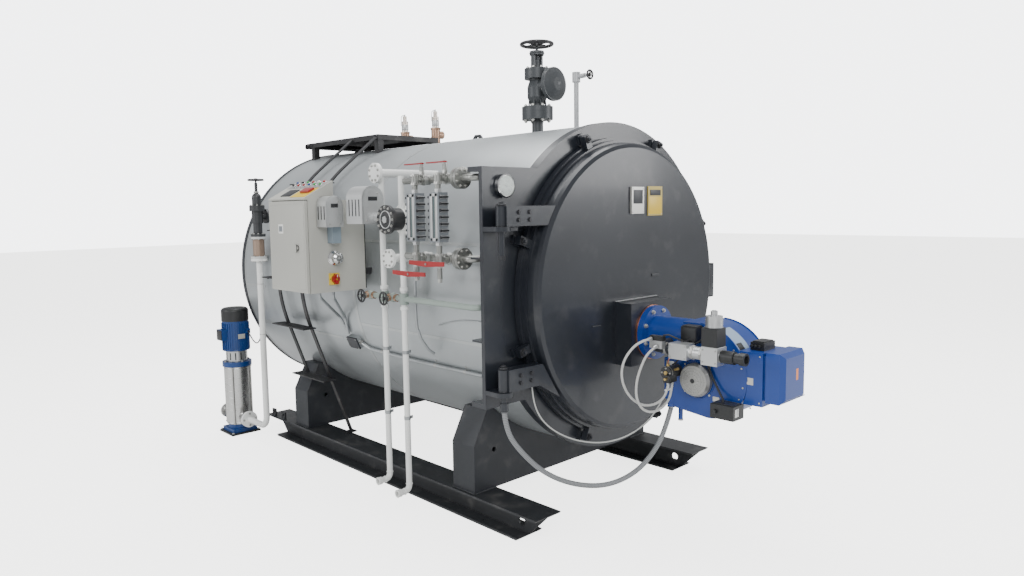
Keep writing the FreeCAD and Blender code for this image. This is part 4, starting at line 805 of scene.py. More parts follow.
# Ring, hinge plate and door.
doorFacts = {
    "centre": axisZ, "clampAngles": (22.6, 68.0, 112.0, 160.5, 197.5, 248.0, 292.0), "clampReach": 0.943,
    "faceOut": -145.3, "hingeX": -1.070, "hingeY": back(-88), "armZ": ((1.772, 1.876), (0.912, 1.030)),
}


def makeDoorTrim(d):
    hx, hy = d["hingeX"], d["hingeY"]
    centre = (0, 0, d["centre"])
    Shape("doorGasket", "gasket", "refractory", "door").hoop(0.872, 0.893, back(-7.9), back(-1.2), centre, Y,
            128).finish()
    studs = Shape("clampNuts", "darkBolt", "dark_enamel", "door")
    for angle in d["clampAngles"]:
        a = math.radians(angle)
        spot = Vector((math.cos(a) * d["clampReach"], back(-86), d["centre"] + math.sin(a) * d["clampReach"]))
        studs.rod(spot + Y * 0.0202, spot + Y * 0.0075, 0.0195, 6)
        studs.rod(spot + Y * 0.0075, spot - Y * 0.004, 0.0085, 14, 0.002)
        studs.rod(spot + Y * 0.0209, spot + Y * 0.018, 0.024, 20)
    studs.finish(0.0008)
    hinge = Shape("hingeCaps", "darkBolt", "dark_enamel", "door")
    for low, high in d["armZ"]:
        hinge.peg((hx, hy, high), Z * 0.012, 0.024, 28, 0.003)
        hinge.peg((hx, hy, high + 0.012), Z * 0.01, 0.013, 6)
        hinge.ring((hx, hy, low + 0.002), Z, 0.0275, 0.0035, 32, 8)
    hinge.peg((hx, hy, 1.600), Z * 0.022, 0.022, 6)
    hinge.finish(0.0008)
    bands = Shape("hingeArmBolts", "darkBolt", "dark_enamel", "door")
    for low, high in d["armZ"]:
        for x in (-0.985, -0.905):
            z = (low + high) / 2
            for rise in (-0.020, 0.020):
                bands.peg((x, back(-130.2), z + rise), -Y * 0.0018, 0.0125, 20)
                bands.peg((x, back(-132), z + rise), -Y * 0.007, 0.011, 6)
    bands.finish(0.0006)
    plates = Shape("hingePlateStiffeners", "enamel", "dark_enamel")
    for z in (1.16, 1.60):
        plates.sheet([(-1.118, back(25), z), (-1.118, back(100), z), (-1.112, back(108), z),
                      (-1.03, back(108), z), (-1.005, back(25), z)], Z * 0.010)
    plates.finish(0.001)
    face = back(d["faceOut"])
    trim = Shape("doorFaceTrim", "flatEnamel", "dark_enamel", "door")
    trim.sheet([(-0.206, face - 0.028, 1.3003), (0.206, face - 0.028, 1.3003), (0.206, face - 0.028, 1.306),
                (-0.206, face - 0.028, 1.306)], Y * 0.0278)
    trim.block((0.16, face - 0.006, 1.428), (0.235, face, 1.446), 0.002)
    trim.block((-0.42, face - 0.004, 1.176), (-0.34, face, 1.184), 0.001)
    trim.finish()
    # A thin silver strip along the top front edge of the dark adapter ledge: a painted highlight where light
    # catches that edge.
    Shape("adapterLedgeHighlight", "silverBlock", "gas_silver", "door").block((-0.208, face - 0.010, 1.3062),
            (0.208, face - 0.0002, 1.3082)).finish()
    frames = Shape("doorPlateFrames", "boltSteel", "gas_silver", "door")
    for low, high, z0, z1, out in ((-0.062, 0.060, 1.820, 1.980, 0.0144), (0.112, 0.262, 1.806, 1.985, 0.0064)):
        for x in (low + 0.010, high - 0.010):
            for z in (z0 + 0.010, z1 - 0.010):
                frames.peg((x, face - out - 0.0002, z), -Y * 0.002, 0.0035, 12, 0.0008)
    frames.finish()
    panels = Shape("doorPlatePanels", "flatEnamel", "dark_enamel", "door")
    panels.block((-0.046, face - 0.0162, 1.880), (0.044, face - 0.0143, 1.962), 0.0006)
    panels.block((0.132, face - 0.0080, 1.930), (0.242, face - 0.0062, 1.964), 0.0006)
    panels.finish()
    Shape("doorPlateField", "yellow", "label_silver", "door").block((0.120, face - 0.0078, 1.815),
            (0.254, face - 0.0062, 1.922), 0.0006).finish()
    Shape("latchBoxCover", "enamel", "label_silver", "door").block((0.858, back(-117), 1.240),
            (0.940, back(-111.6), 1.450), 0.002).finish()


makeDoorTrim(doorFacts)
print("door trims OK")

# Pressure gauge.
gaugeFacts = {"centre": (-0.974, back(-27.3), 1.982), "radius": 0.0535, "ticks": 11, "needle": 228}


def makeDial(g):
    x, y, z = g["centre"]
    Shape("gaugeFace", "white", "dial").peg((x, y - 0.0002, z), -Y * 0.0012, g["radius"], 48).finish()
    marks = Shape("gaugeMarks", "blackPlastic", "dial")
    for i in range(g["ticks"] * 2 - 1):
        a = math.radians(225 - i * 270 / (g["ticks"] * 2 - 2))
        outer, inner = 0.046, (0.036 if i % 2 == 0 else 0.041)
        wide = 0.0011 if i % 2 == 0 else 0.0006
        strip(marks, Vector((x, y - 0.0016, z)), a, inner, outer, wide, wide, -Y * 0.0004)
    a = math.radians(g["needle"] - 60)
    strip(marks, Vector((x, y - 0.0026, z)), a, -0.014, 0.038, 0.0022, 0.0006, -Y * 0.0005)
    marks.peg((x, y - 0.0016, z), -Y * 0.0026, 0.0042, 20, 0.0008)
    marks.finish()
    Shape("gaugePane", "glass", "dial").peg((x, y - 0.0052, z), -Y * 0.0012, g["radius"] - 0.0005, 48).finish()


makeDial(gaugeFacts)

# Flange bolts, one piece for each body.
flanges = [
    # centre, direction the heads face, pitch radius, count, head radius
    ((0, back(667), 2.452), -Z, 0.084, 8, 0.012), ((0, back(667), 2.5373), Z, 0.084, 8, 0.012),
    ((0, back(531), 2.670), Y, 0.088, 8, 0.012), ((0, back(667), 2.788), Z, 0.068, 8, 0.010),
    ((0.320, back(2160), 2.392), Z, 0.045, 4, 0.006), ((0.320, back(2590), 2.392), Z, 0.045, 4, 0.006),
    ((-1.085, back(185), 2.030), -Y, 0.046, 8, 0.0075), ((-1.085, back(229), 2.030), Y, 0.046, 8, 0.0075),
    ((-1.085, back(185), 1.597), -Y, 0.046, 8, 0.0075), ((-1.085, back(229), 1.597), Y, 0.046, 8, 0.0075),
    ((-1.150, back(925), 2.086), -X, 0.046, 8, 0.0070), ((-1.150, back(806), 1.578), -X, 0.043, 8, 0.0065),
    ((-1.218, back(725), 1.810), -X, 0.071, 12, 0.0070),
    ((feedX, back(feedDistance), 1.482), -Z, 0.048, 8, 0.0070), ((feedX, back(feedDistance), 1.5183), Z, 0.053,
            8, 0.0055),
    ((feedX, back(feedDistance), 1.6923), Z, 0.045, 8, 0.0065), ((feedX, back(feedDistance), 1.654), -Z, 0.050,
            8, 0.0050),
    ((feedX, back(feedDistance), 1.914), Z, 0.047, 8, 0.0065),
    ((-1.046, back(3010), 0.146), -Y, 0.049, 4, 0.0080), ((-1.046, back(3052.3), 0.146), Y, 0.047, 4, 0.0080),
    ((-1.046, 1.9777, 0.146), -Y, 0.047, 4, 0.0080),
    ((0, 1.832 + 0.130 - 0.014, 1.790), -Y, 0.243, 16, 0.006),
]
doorFlanges = [((0, back(-305), 1.115), -Y, 0.136, 8, 0.0115)]


def makeFlangeBolts(name, body, circles, slot):
    heads = Shape(name, "boltSteel", slot, body)
    for centre, axis, pitch, count, head in circles:
        bolts(heads, centre, axis, pitch, count, head, head * 0.9)
    heads.finish()


makeFlangeBolts("flangeBolts", "plant", flanges, "steel_bright")
makeFlangeBolts("burnerFlangeBolts", "door", doorFlanges, "steel_bright")
print("bolts OK")

# Level gauges: cover bars, clamps, glass and cocks.
levelFacts = {"x": -1.180, "y": (back(283), back(485)), "low": 1.690, "high": 1.955, "depth": 0.064,
              "width": 0.082,
              "clamps": 7, "headerZ": (2.030, 1.597), "headerX": -1.085}


def makeLevelGauges(g):
    middle, low, high, pipe = g["x"], g["low"], g["high"], g["headerX"]
    cover = Shape("gaugeCovers", "aluminium", "gauge_grey")
    glass = Shape("gaugeReflexGlass", "dirtyGlass", "gauge_grey")
    nuts = Shape("gaugeClampBolts", "darkBolt", "gauge_grey")
    rods = Shape("gaugeClampPlates", "aluminium", "gauge_grey")
    front = middle - g["depth"] / 2
    for y in g["y"]:
        glass.block((front + 0.0030, y - 0.0105, low + 0.024), (front + 0.0068, y + 0.0105, high - 0.024))
        for side in (-1, 1):
            cover.block((front - 0.003, min(y + side * 0.012, y + side * 0.030), low + 0.006),
                        (front + 0.001, max(y + side * 0.012, y + side * 0.030), high - 0.006), 0.0012)
        cover.block((front - 0.003, y - 0.030, high - 0.022), (front + 0.001, y + 0.030, high - 0.006), 0.0012)
        cover.block((front - 0.003, y - 0.030, low + 0.006), (front + 0.001, y + 0.030, low + 0.022), 0.0012)
        span = (high - low - 0.05) / (g["clamps"] - 1)
        for k in range(g["clamps"]):
            z = low + 0.025 + k * span
            for side in (-1, 1):
                edge = y + side * g["width"] / 2
                rods.block((front + 0.010, min(edge, edge + side * 0.004), z - 0.0100),
                           (middle + g["depth"] / 2 - 0.006, max(edge, edge + side * 0.004), z + 0.0100), 0.001)
                nuts.rod((front + 0.006, edge + side * 0.0075, z), (middle + g["depth"] / 2 - 0.002,
                        edge + side * 0.0075, z), 0.0042, 10)
                nuts.peg((front + 0.002, edge + side * 0.0075, z), X * 0.008, 0.0078, 6)
        for z, up in ((low, -1), (high, 1)):
            rods.peg((middle, y, z), Z * (up * 0.02), 0.020, 6)
    cover.finish()
    glass.finish()
    nuts.finish()
    rods.finish(0.0006)
    unions = Shape("cockUnions", "boltSteel", "steel_bright")
    for y in g["y"]:
        for z in g["headerZ"]:
            unions.peg((pipe - 0.024, y, z), -X * 0.02, 0.0325, 8)
            unions.peg((middle, y, z - 0.031), Z * 0.014, 0.0250, 6)
            unions.peg((middle, y, z + 0.017), Z * 0.014, 0.0250, 6)
        unions.peg((pipe - 0.045, y, g["headerZ"][0] + 0.020), Z * 0.026, 0.0165, 6)
        unions.peg((middle, y, 1.470), Z * 0.02, 0.0135, 6)
        unions.peg((middle, y, 1.548), Z * 0.018, 0.0175, 6)
        unions.ring((middle, y, 1.4765), Z, 0.0095, 0.002, 20, 6)
    unions.finish(0.0007)


makeLevelGauges(levelFacts)
print("level gauges OK")

# Drain columns and manifold fittings.
drainFacts = {"x": -1.100, "y": (back(925), back(725)), "valveY": (back(1070), back(835)), "z": 1.340,
              "ends": (0.197, 0.172)}


def makeDrainFittings(d):
    x, level = d["x"], d["z"]
    collars = Shape("drainCollars", "whitePipe", "pipe_white")
    clips = Shape("drainPipeClips", "galvanised", "steel_bright")
    for y, end in zip(d["y"], d["ends"]):
        for z in (1.396, 1.284):
            collars.peg((x, y, z - 0.011), Z * 0.022, 0.0245, 28, 0.002)
        collars.ring((x - 0.090, y, end), X, 0.0215, 0.003, 28, 8)
        collars.ring((x - 0.036, y, end), X, 0.0185, 0.003, 28, 8)
        collars.ring((x, y, end + 0.040), Z, 0.0185, 0.003, 28, 8)
        for z in (1.02, 0.62):
            clips.hoop(0.0184, 0.0205, -0.010, 0.010, (x, y, z), Z, 28)
            clips.block((x + 0.019, y - 0.002, z - 0.009), (x + 0.040, y + 0.002, z + 0.009), 0.0005)
            clips.peg((x + 0.030, y - 0.007, z), Y * 0.014, 0.0045, 6)
    collars.finish()
    clips.finish()
    hexes = Shape("valveBonnets", "bronze", "bronze")
    for y in d["valveY"]:
        hexes.peg((x - 0.026, y, level), -X * 0.016, 0.0205, 6)
        hexes.peg((x - 0.042, y, level), -X * 0.0155, 0.0150, 6)
        for side in (-1, 1):
            hexes.peg((x, y + side * 0.026, level), Y * (side * 0.018), 0.0235, 8)
    hexes.finish(0.0006)


makeDrainFittings(drainFacts)

# Handwheel nuts.
wheelNuts = [("steam_handwheel", (0, back(667), 2.9612), Z, 0.017),
             ("vent_handwheel", (0, back(323) - 0.1195, 2.690), -Y, 0.009),
             ("feed_handwheel", (feedX, back(feedDistance), 2.1217), Z, 0.012),
             ("drain_handwheel_1", (-1.1793, back(1070), 1.340), -X, 0.0085),
             ("drain_handwheel_2", (-1.1793, back(835), 1.340), -X, 0.0085)]
for body, spot, axis, size in wheelNuts:
    nut = Shape(body + "Nut", "boltSteel", "steel_bright", body)
    spot, axis = Vector(spot), Vector(axis)
    nut.rod(spot, spot + axis * size * 0.35, size, 6)
    nut.finish(0.0004)
print("valve fittings OK")

# Steam valve dressing.
valveFacts = {"y": back(667)}


def makeThread(name, x, y, low, high, radius, pitch, finish):
    # A stem's thread as a fine helix.
    count = int((high - low) / pitch * 14)
    path = [(x + radius * math.cos(math.tau * k / 14), y + radius * math.sin(math.tau * k / 14),
             low + pitch * k / 14) for k in range(count)]
    Shape(name, finish, "steel_bright").wire(path, radius * 0.14, 5).finish()


makeThread("steamStemThread", 0, valveFacts["y"], 2.850, 2.874, 0.0092, 0.005, "chrome")
yoke = Shape("steamYokeTrim", "castGrey", "cast_grey")
yoke.peg((0, valveFacts["y"], 2.846), Z * 0.016, 0.022, 6)
yoke.ring((0, valveFacts["y"], 2.889), Z, 0.048, 0.004, 40, 8)
for rib in range(8):
    turn = math.tau * (rib + 0.5) / 8
    spot = Vector((math.cos(turn) * 0.062, valveFacts["y"] + math.sin(turn) * 0.062, 0))
    yoke.rod((spot.x, spot.y, 2.5373), (spot.x * 0.9, valveFacts["y"] + (spot.y - valveFacts["y"]) * 0.9, 2.590),
             0.005, 8)
yoke.finish(0.0008)
Shape("flangeGaskets", "gasket", "refractory").hoop(0.060, 0.101, 2.49405, 2.49425, (0, valveFacts["y"], 0), Z,
                                                    48).finish()
print("valves OK")

# Safety valves.
safetyFacts = {"x": 0.320, "y": (back(2160), back(2590))}
safety = Shape("safetyValveTrim", "bronze", "bronze")
caps = Shape("safetyValveCaps", "aluminium", "cast_grey")
for y in safetyFacts["y"]:
    x = safetyFacts["x"]
    safety.peg((x, y, 2.532), Z * 0.016, 0.0425, 8)
    safety.peg((x, y, 2.405), Z * 0.019, 0.0425, 8)
    safety.ring((x, y, 2.470), Z, 0.038, 0.0035, 36, 8)
    caps.lathe([(0.0285, 2.560), (0.0300, 2.564), (0.0300, 2.606), (0.0285, 2.610), (0.0278, 2.610)], (x, y, 0),
               Z, 32)
    caps.block((x - 0.004, y - 0.006, 2.684), (x + 0.004, y + 0.006, 2.7000), 0.001)
    caps.wire([(x, y, 2.690), (x - 0.02, y, 2.692), (x - 0.036, y, 2.680), (x - 0.040, y, 2.640),
               (x - 0.041, y, 2.600)], 0.0035, 8)
safety.finish(0.0006)
caps.finish(0.0006)
print("safety valves OK")

# Control cabinet.
cabinetFacts = {
    "x": (-1.467, -1.050), "y": (back(1195), back(1655)), "z": (1.365, 1.932), "console": ((-1.467, 1.944),
            (-1.270, 2.050)),
    "door": ((back(1215), back(1640)), (1.392, 1.905)), "lock": (back(1295), 1.643), "glands": ((-1.180, 1560),
            (-1.130, 1470)),
    "buttons": [(0.165, ("green", "green", "blue", "red", "red", "blackPlastic")),
                (0.200, ("red", "white", "red", "green", "blackPlastic", "blue"))],
}


def makeCabinetTrim(c):
    x0, x1 = c["x"]
    y0, y1 = c["y"]
    z0, z1 = c["z"]
    low, high = Vector((c["console"][0][0], 0, c["console"][0][1])), Vector((c["console"][1][0], 0,
            c["console"][1][1]))
    along = (high - low).normalized()
    out = along.cross(Y)
    out = out if out.z > 0 else -out
    turn = Matrix((along, Y, along.cross(Y))).transposed().to_4x4()
    turn = turn if (turn @ Z).z > 0 else Matrix((along, -Y, out)).transposed().to_4x4()

    def slab(shape, s0, s1, ya, yb, thick, bevel=0.0):
        place = Matrix.Translation(Vector((low.x, (ya + yb) / 2, low.z))) @ turn
        half = (yb - ya) / 2
        shape.block((s0, -half, 0.0002), (s1, half, thick), bevel, place)

    plate = Shape("consolePlate", "silverBlock", "cabinet_beige")
    slab(plate, 0.135, 0.219, y0 + 0.020, y1 - 0.030, 0.0020, 0.0004)
    plate.finish()
    strip = Shape("consoleStrip", "yellow", "cabinet_beige")
    slab(strip, 0.014, 0.130, y0 + 0.020, y0 + 0.200, 0.0022, 0.0004)
    strip.finish()
    hood = Shape("consoleStopBlock", "red", "switch_plastic")
    slab(hood, 0.062, 0.110, y0 + 0.040, y0 + 0.145, 0.016, 0.003)
    hood.finish()
    marks = Shape("consoleDisplay", "blackPlastic", "switch_plastic")
    slab(marks, 0.030, 0.112, y0 + 0.225, y0 + 0.345, 0.0045, 0.001)
    for k in range(5):
        slab(marks, 0.124, 0.130, y0 + 0.045 + 0.033 * k, y0 + 0.062 + 0.033 * k, 0.0026)
    marks.finish()
    shapes = {}
    for s, colours in c["buttons"]:
        for k, colour in enumerate(colours):
            if colour not in shapes:
                shapes[colour] = Shape("consoleButtons" + colour.capitalize(), colour, "switch_plastic")
            spot = low + along * s + Y * (y0 + 0.055 + 0.066 * k) + out * 0.002
            shapes[colour].rod(spot + out * 0.004, spot + out * 0.013, 0.0095, 20, 0.002)
    for shape in shapes.values():
        shape.finish()
    bezels = Shape("consoleBezels", "chrome", "switch_plastic")
    for s, colours in c["buttons"]:
        for k in range(len(colours)):
            spot = low + along * s + Y * (y0 + 0.055 + 0.066 * k) + out * 0.002
            bezels.rod(spot, spot + out * 0.005, 0.0135, 24, 0.0012)
    bezels.finish()
    # Thin black strips: one down the case's rear edge on its -Y face, and two along its top and bottom, 18 mm in
    # from the door face.
    edge = Shape("cabinetRearStrip", "rubberAndShade", "cabinet_beige")
    edge.block((x1 - 0.006, y0 - 0.0016, z0 + 0.006), (x1 + 0.0002, y0 - 0.0001, z1 - 0.01))
    edge.block((x0 + 0.018, y0 + 0.003, z0 + 0.004), (x0 + 0.0196, y1 - 0.003, z0 + 0.010))
    edge.block((x0 + 0.018, y0 + 0.003, z1 - 0.010), (x0 + 0.0196, y1 - 0.003, z1 - 0.004))
    edge.finish()
    glands = Shape("cabinetGlands", "galvanised", "steel_bright")
    for x, distance in c["glands"]:
        spot = Vector((x, back(distance), z0))
        glands.rod(spot - Z * 0.0004, spot - Z * 0.012, 0.020, 6)
        glands.rod(spot - Z * 0.012, spot - Z * 0.024, 0.0165, 24, 0.002)
    glands.finish(0.0006)
    panel = Shape("cabinetDoorPanel", "beige", "cabinet_beige", "cabinet_door")
    (ya, yb), (za, zb) = c["door"]
    panel.block((x0 - 0.0014, ya, za), (x0 - 0.0001, yb, zb), 0.0006)
    panel.finish()
    Shape("cabinetDoorLabel", "white", "cabinet_beige", "cabinet_door").block((x0 - 0.0030, 0.020, 1.728),
            (x0 - 0.0013, 0.082, 1.786), 0.0006).finish()
    Shape("cabinetDoorInset", "gaugeGrey", "switch_plastic", "cabinet_door").block((x0 - 0.0036, 0.030, 1.740),
            (x0 - 0.0029, 0.072, 1.774)).finish()
    lock = Shape("cabinetLockRing", "blackPlastic", "switch_plastic", "cabinet_door")
    y, z = c["lock"]
    lock.ring((x0 - 0.0022, y, z), X, 0.0145, 0.0026, 32, 8)
    lock.block((x0 - 0.0155, y - 0.0085, z - 0.027), (x0 - 0.0100, y + 0.0085, z + 0.021), 0.002)
    lock.finish()
    inside = Shape("cabinetBackPlate", "galvanised", "steel_bright")
    inside.block((x1 - 0.012, y0 + 0.03, z0 + 0.04), (x1 - 0.009, y1 - 0.03, z1 - 0.04))
    for z in (1.50, 1.66, 1.82):
        inside.block((x1 - 0.020, y0 + 0.05, z - 0.017), (x1 - 0.0118, y1 - 0.05, z + 0.017), 0.001)
    inside.finish()
    gear = Shape("cabinetGear", "blackPlastic", "switch_plastic")
    for z, count, wide, tall, deep in ((1.50, 9, 0.032, 0.075, 0.060), (1.66, 5, 0.060, 0.085, 0.085),
                                       (1.82, 14, 0.019, 0.060, 0.050)):
        gear.add(row.grow(Count=count, Step=wide * 1.12, Size=(wide, deep, tall)),
                 Matrix.Translation((x1 - 0.021 - deep / 2, y0 + 0.075, z)) @ Matrix.Rotation(math.pi / 2, 4,
                         "Z"))
    gear.finish(0.001)
    ducts = Shape("cabinetDucts", "gaugeGrey", "switch_plastic")
    for z in (1.585, 1.745):
        ducts.block((x1 - 0.062, y0 + 0.045, z - 0.016), (x1 - 0.0118, y1 - 0.045, z + 0.016), 0.001)
    ducts.finish()


makeCabinetTrim(cabinetFacts)
print("cabinet OK")

# Pressure switches, sounder and main switch.
switchFacts = {
    "face": back(1195) - 0.0003,
    "housings": [{"x": -1.335, "y": back(1195) - 0.0623, "low": 1.768, "wide": 0.116, "deep": 0.110,
                  "high": 0.186, "slots": 3},
                 {"x": -1.215, "y": back(935), "low": 1.786, "wide": 0.150, "deep": 0.170, "high": 0.222,
                  "slots": 4}],
    "sounder": (-1.280, 1.575), "switch": (-1.286, 1.446),
}


def makeSwitchTrim(s):
    # The slots in the housings' sides are drawn as flat black strips on the casting: painted shade in the slot
    # openings.
    slots = Shape("housingSlotShade", "rubberAndShade", "cast_aluminium")
    straps = Shape("housingStraps", "silverBlock", "cast_aluminium")
    plates = Shape("housingPlates", "blackPlastic", "label_silver")
    screws = Shape("housingScrews", "boltSteel", "steel_bright")
    for h in s["housings"]:
        half, y0 = h["wide"] / 2, h["y"] - h["deep"] / 2
        centre = h["low"] + h["high"] - half
        step = h["deep"] * 0.62 / max(1, h["slots"] - 1)
        for side in (-1, 1):
            for k in range(h["slots"]):
                y = y0 + h["deep"] * 0.19 + step * k
                x = h["x"] + side * half
                slots.block((min(x, x + side * 0.0012), y - 0.0045, h["low"] + 0.045),
                            (max(x, x + side * 0.0012), y + 0.0045, centre - 0.004), 0.0)
        outline = [(h["x"] - half - 0.0012, h["low"] + 0.012)]
        outline += [(h["x"] - (half + 0.0012) * math.cos(a),
                     centre + (half + 0.0012) * math.sin(a)) for a in (math.pi * k / 20 for k in range(21))]
        outline += [(h["x"] + half + 0.0012, h["low"] + 0.012)]
        inner = [(h["x"] + half - 0.010, h["low"] + 0.012)]
        inner += [(h["x"] + (half - 0.010) * math.cos(a),
                   centre + (half - 0.010) * math.sin(a)) for a in (math.pi * k / 20 for k in range(21))]
        inner += [(h["x"] - half + 0.010, h["low"] + 0.012)]
        straps.sheet([(x, y0 - 0.0012, z) for x, z in outline + inner], Y * 0.010)
        plates.block((h["x"] - half * 0.42, y0 - 0.0012, centre - 0.012),
                     (h["x"] + half * 0.42, y0, centre + 0.012), 0.0004)
        for side in (-1, 1):
            screws.peg((h["x"] + side * half * 0.62, y0, h["low"] + 0.018), -Y * 0.004, 0.0055, 12, 0.001)
        screws.peg((h["x"] + half * 0.45, y0, centre + half * 0.42), -Y * 0.004, 0.0055, 12, 0.001)
    slots.finish()
    straps.finish()
    plates.finish()
    screws.finish()
    x, z = s["sounder"]
    y = s["face"]
    sounder = Shape("sounderGrille", "blackPlastic", "switch_plastic")
    for r in (0.010, 0.016):
        sounder.ring((x, y - 0.0600, z), Y, r, 0.0012, 28, 6)
    sounder.add(boltCircle.grow(Count=8, Pitch=0.0285, Head=0.0035, Height=0.0020),
                Matrix.Translation((x, y - 0.0545, z)) @ basis(-Y))
    sounder.finish()
    Shape("sounderRim", "chrome", "switch_plastic").ring((x, y - 0.003, z), Y, 0.0445, 0.003, 48, 8).finish()
    x, z = s["switch"]
    marks = Shape("mainSwitchMarks", "blackPlastic", "switch_plastic")
    for a in (0, 90, 180, 270):
        r = math.radians(a)
        spot = Vector((x + 0.030 * math.cos(r), y - 0.0083, z + 0.030 * math.sin(r)))
        marks.block(spot - Vector((0.003, 0.0006, 0.003)), spot + Vector((0.003, 0.0002, 0.003)))
    marks.finish()
    pins = Shape("mainSwitchScrews", "boltSteel", "steel_bright")
    for dx, dz in corners(0.030, 0.030):
        pins.peg((x + dx, y - 0.008, z + dz), -Y * 0.0015, 0.0028, 12)
    pins.finish()
    Shape("mainSwitchPointer", "white", "lever_red", "main_switch_knob").block((x - 0.0018, y - 0.0427,
            z + 0.012), (x + 0.0018, y - 0.0419, z + 0.028)).finish()
    chamber = Shape("floatHeadScrew", "silverBlock", "gauge_grey")
    chamber.peg((-1.2180, back(725), 1.810), -X * 0.008, 0.022, 6)
    chamber.ring((-1.2185, back(725), 1.810), X, 0.050, 0.003, 40, 8)
    chamber.finish(0.0006)


makeSwitchTrim(switchFacts)
print("switches OK")

# Burner.
burnerFacts = {
    "centre": (back(-660), 0.930), "radius": 0.290, "half": 0.130, "cover": (back(-655),
            0.905), "pump": (back(-524), 0.940),
    "neck": 1.115, "gas": (-0.272, 1.086),
}


def arcPlate(shape, centre, radius, low, high, x0, x1, thick):
    # A plate bent to a circle about an X axis, between two angles from the top towards -Y.
    y, z = centre
    steps = 14
    angles = [math.radians(low + (high - low) * k / steps) for k in range(steps + 1)]
    outline = [(x0, y - (radius + thick) * math.sin(a), z + (radius + thick) * math.cos(a)) for a in angles]
    outline += [(x0, y - radius * math.sin(a), z + radius * math.cos(a)) for a in reversed(angles)]
    shape.sheet(outline, X * (x1 - x0))


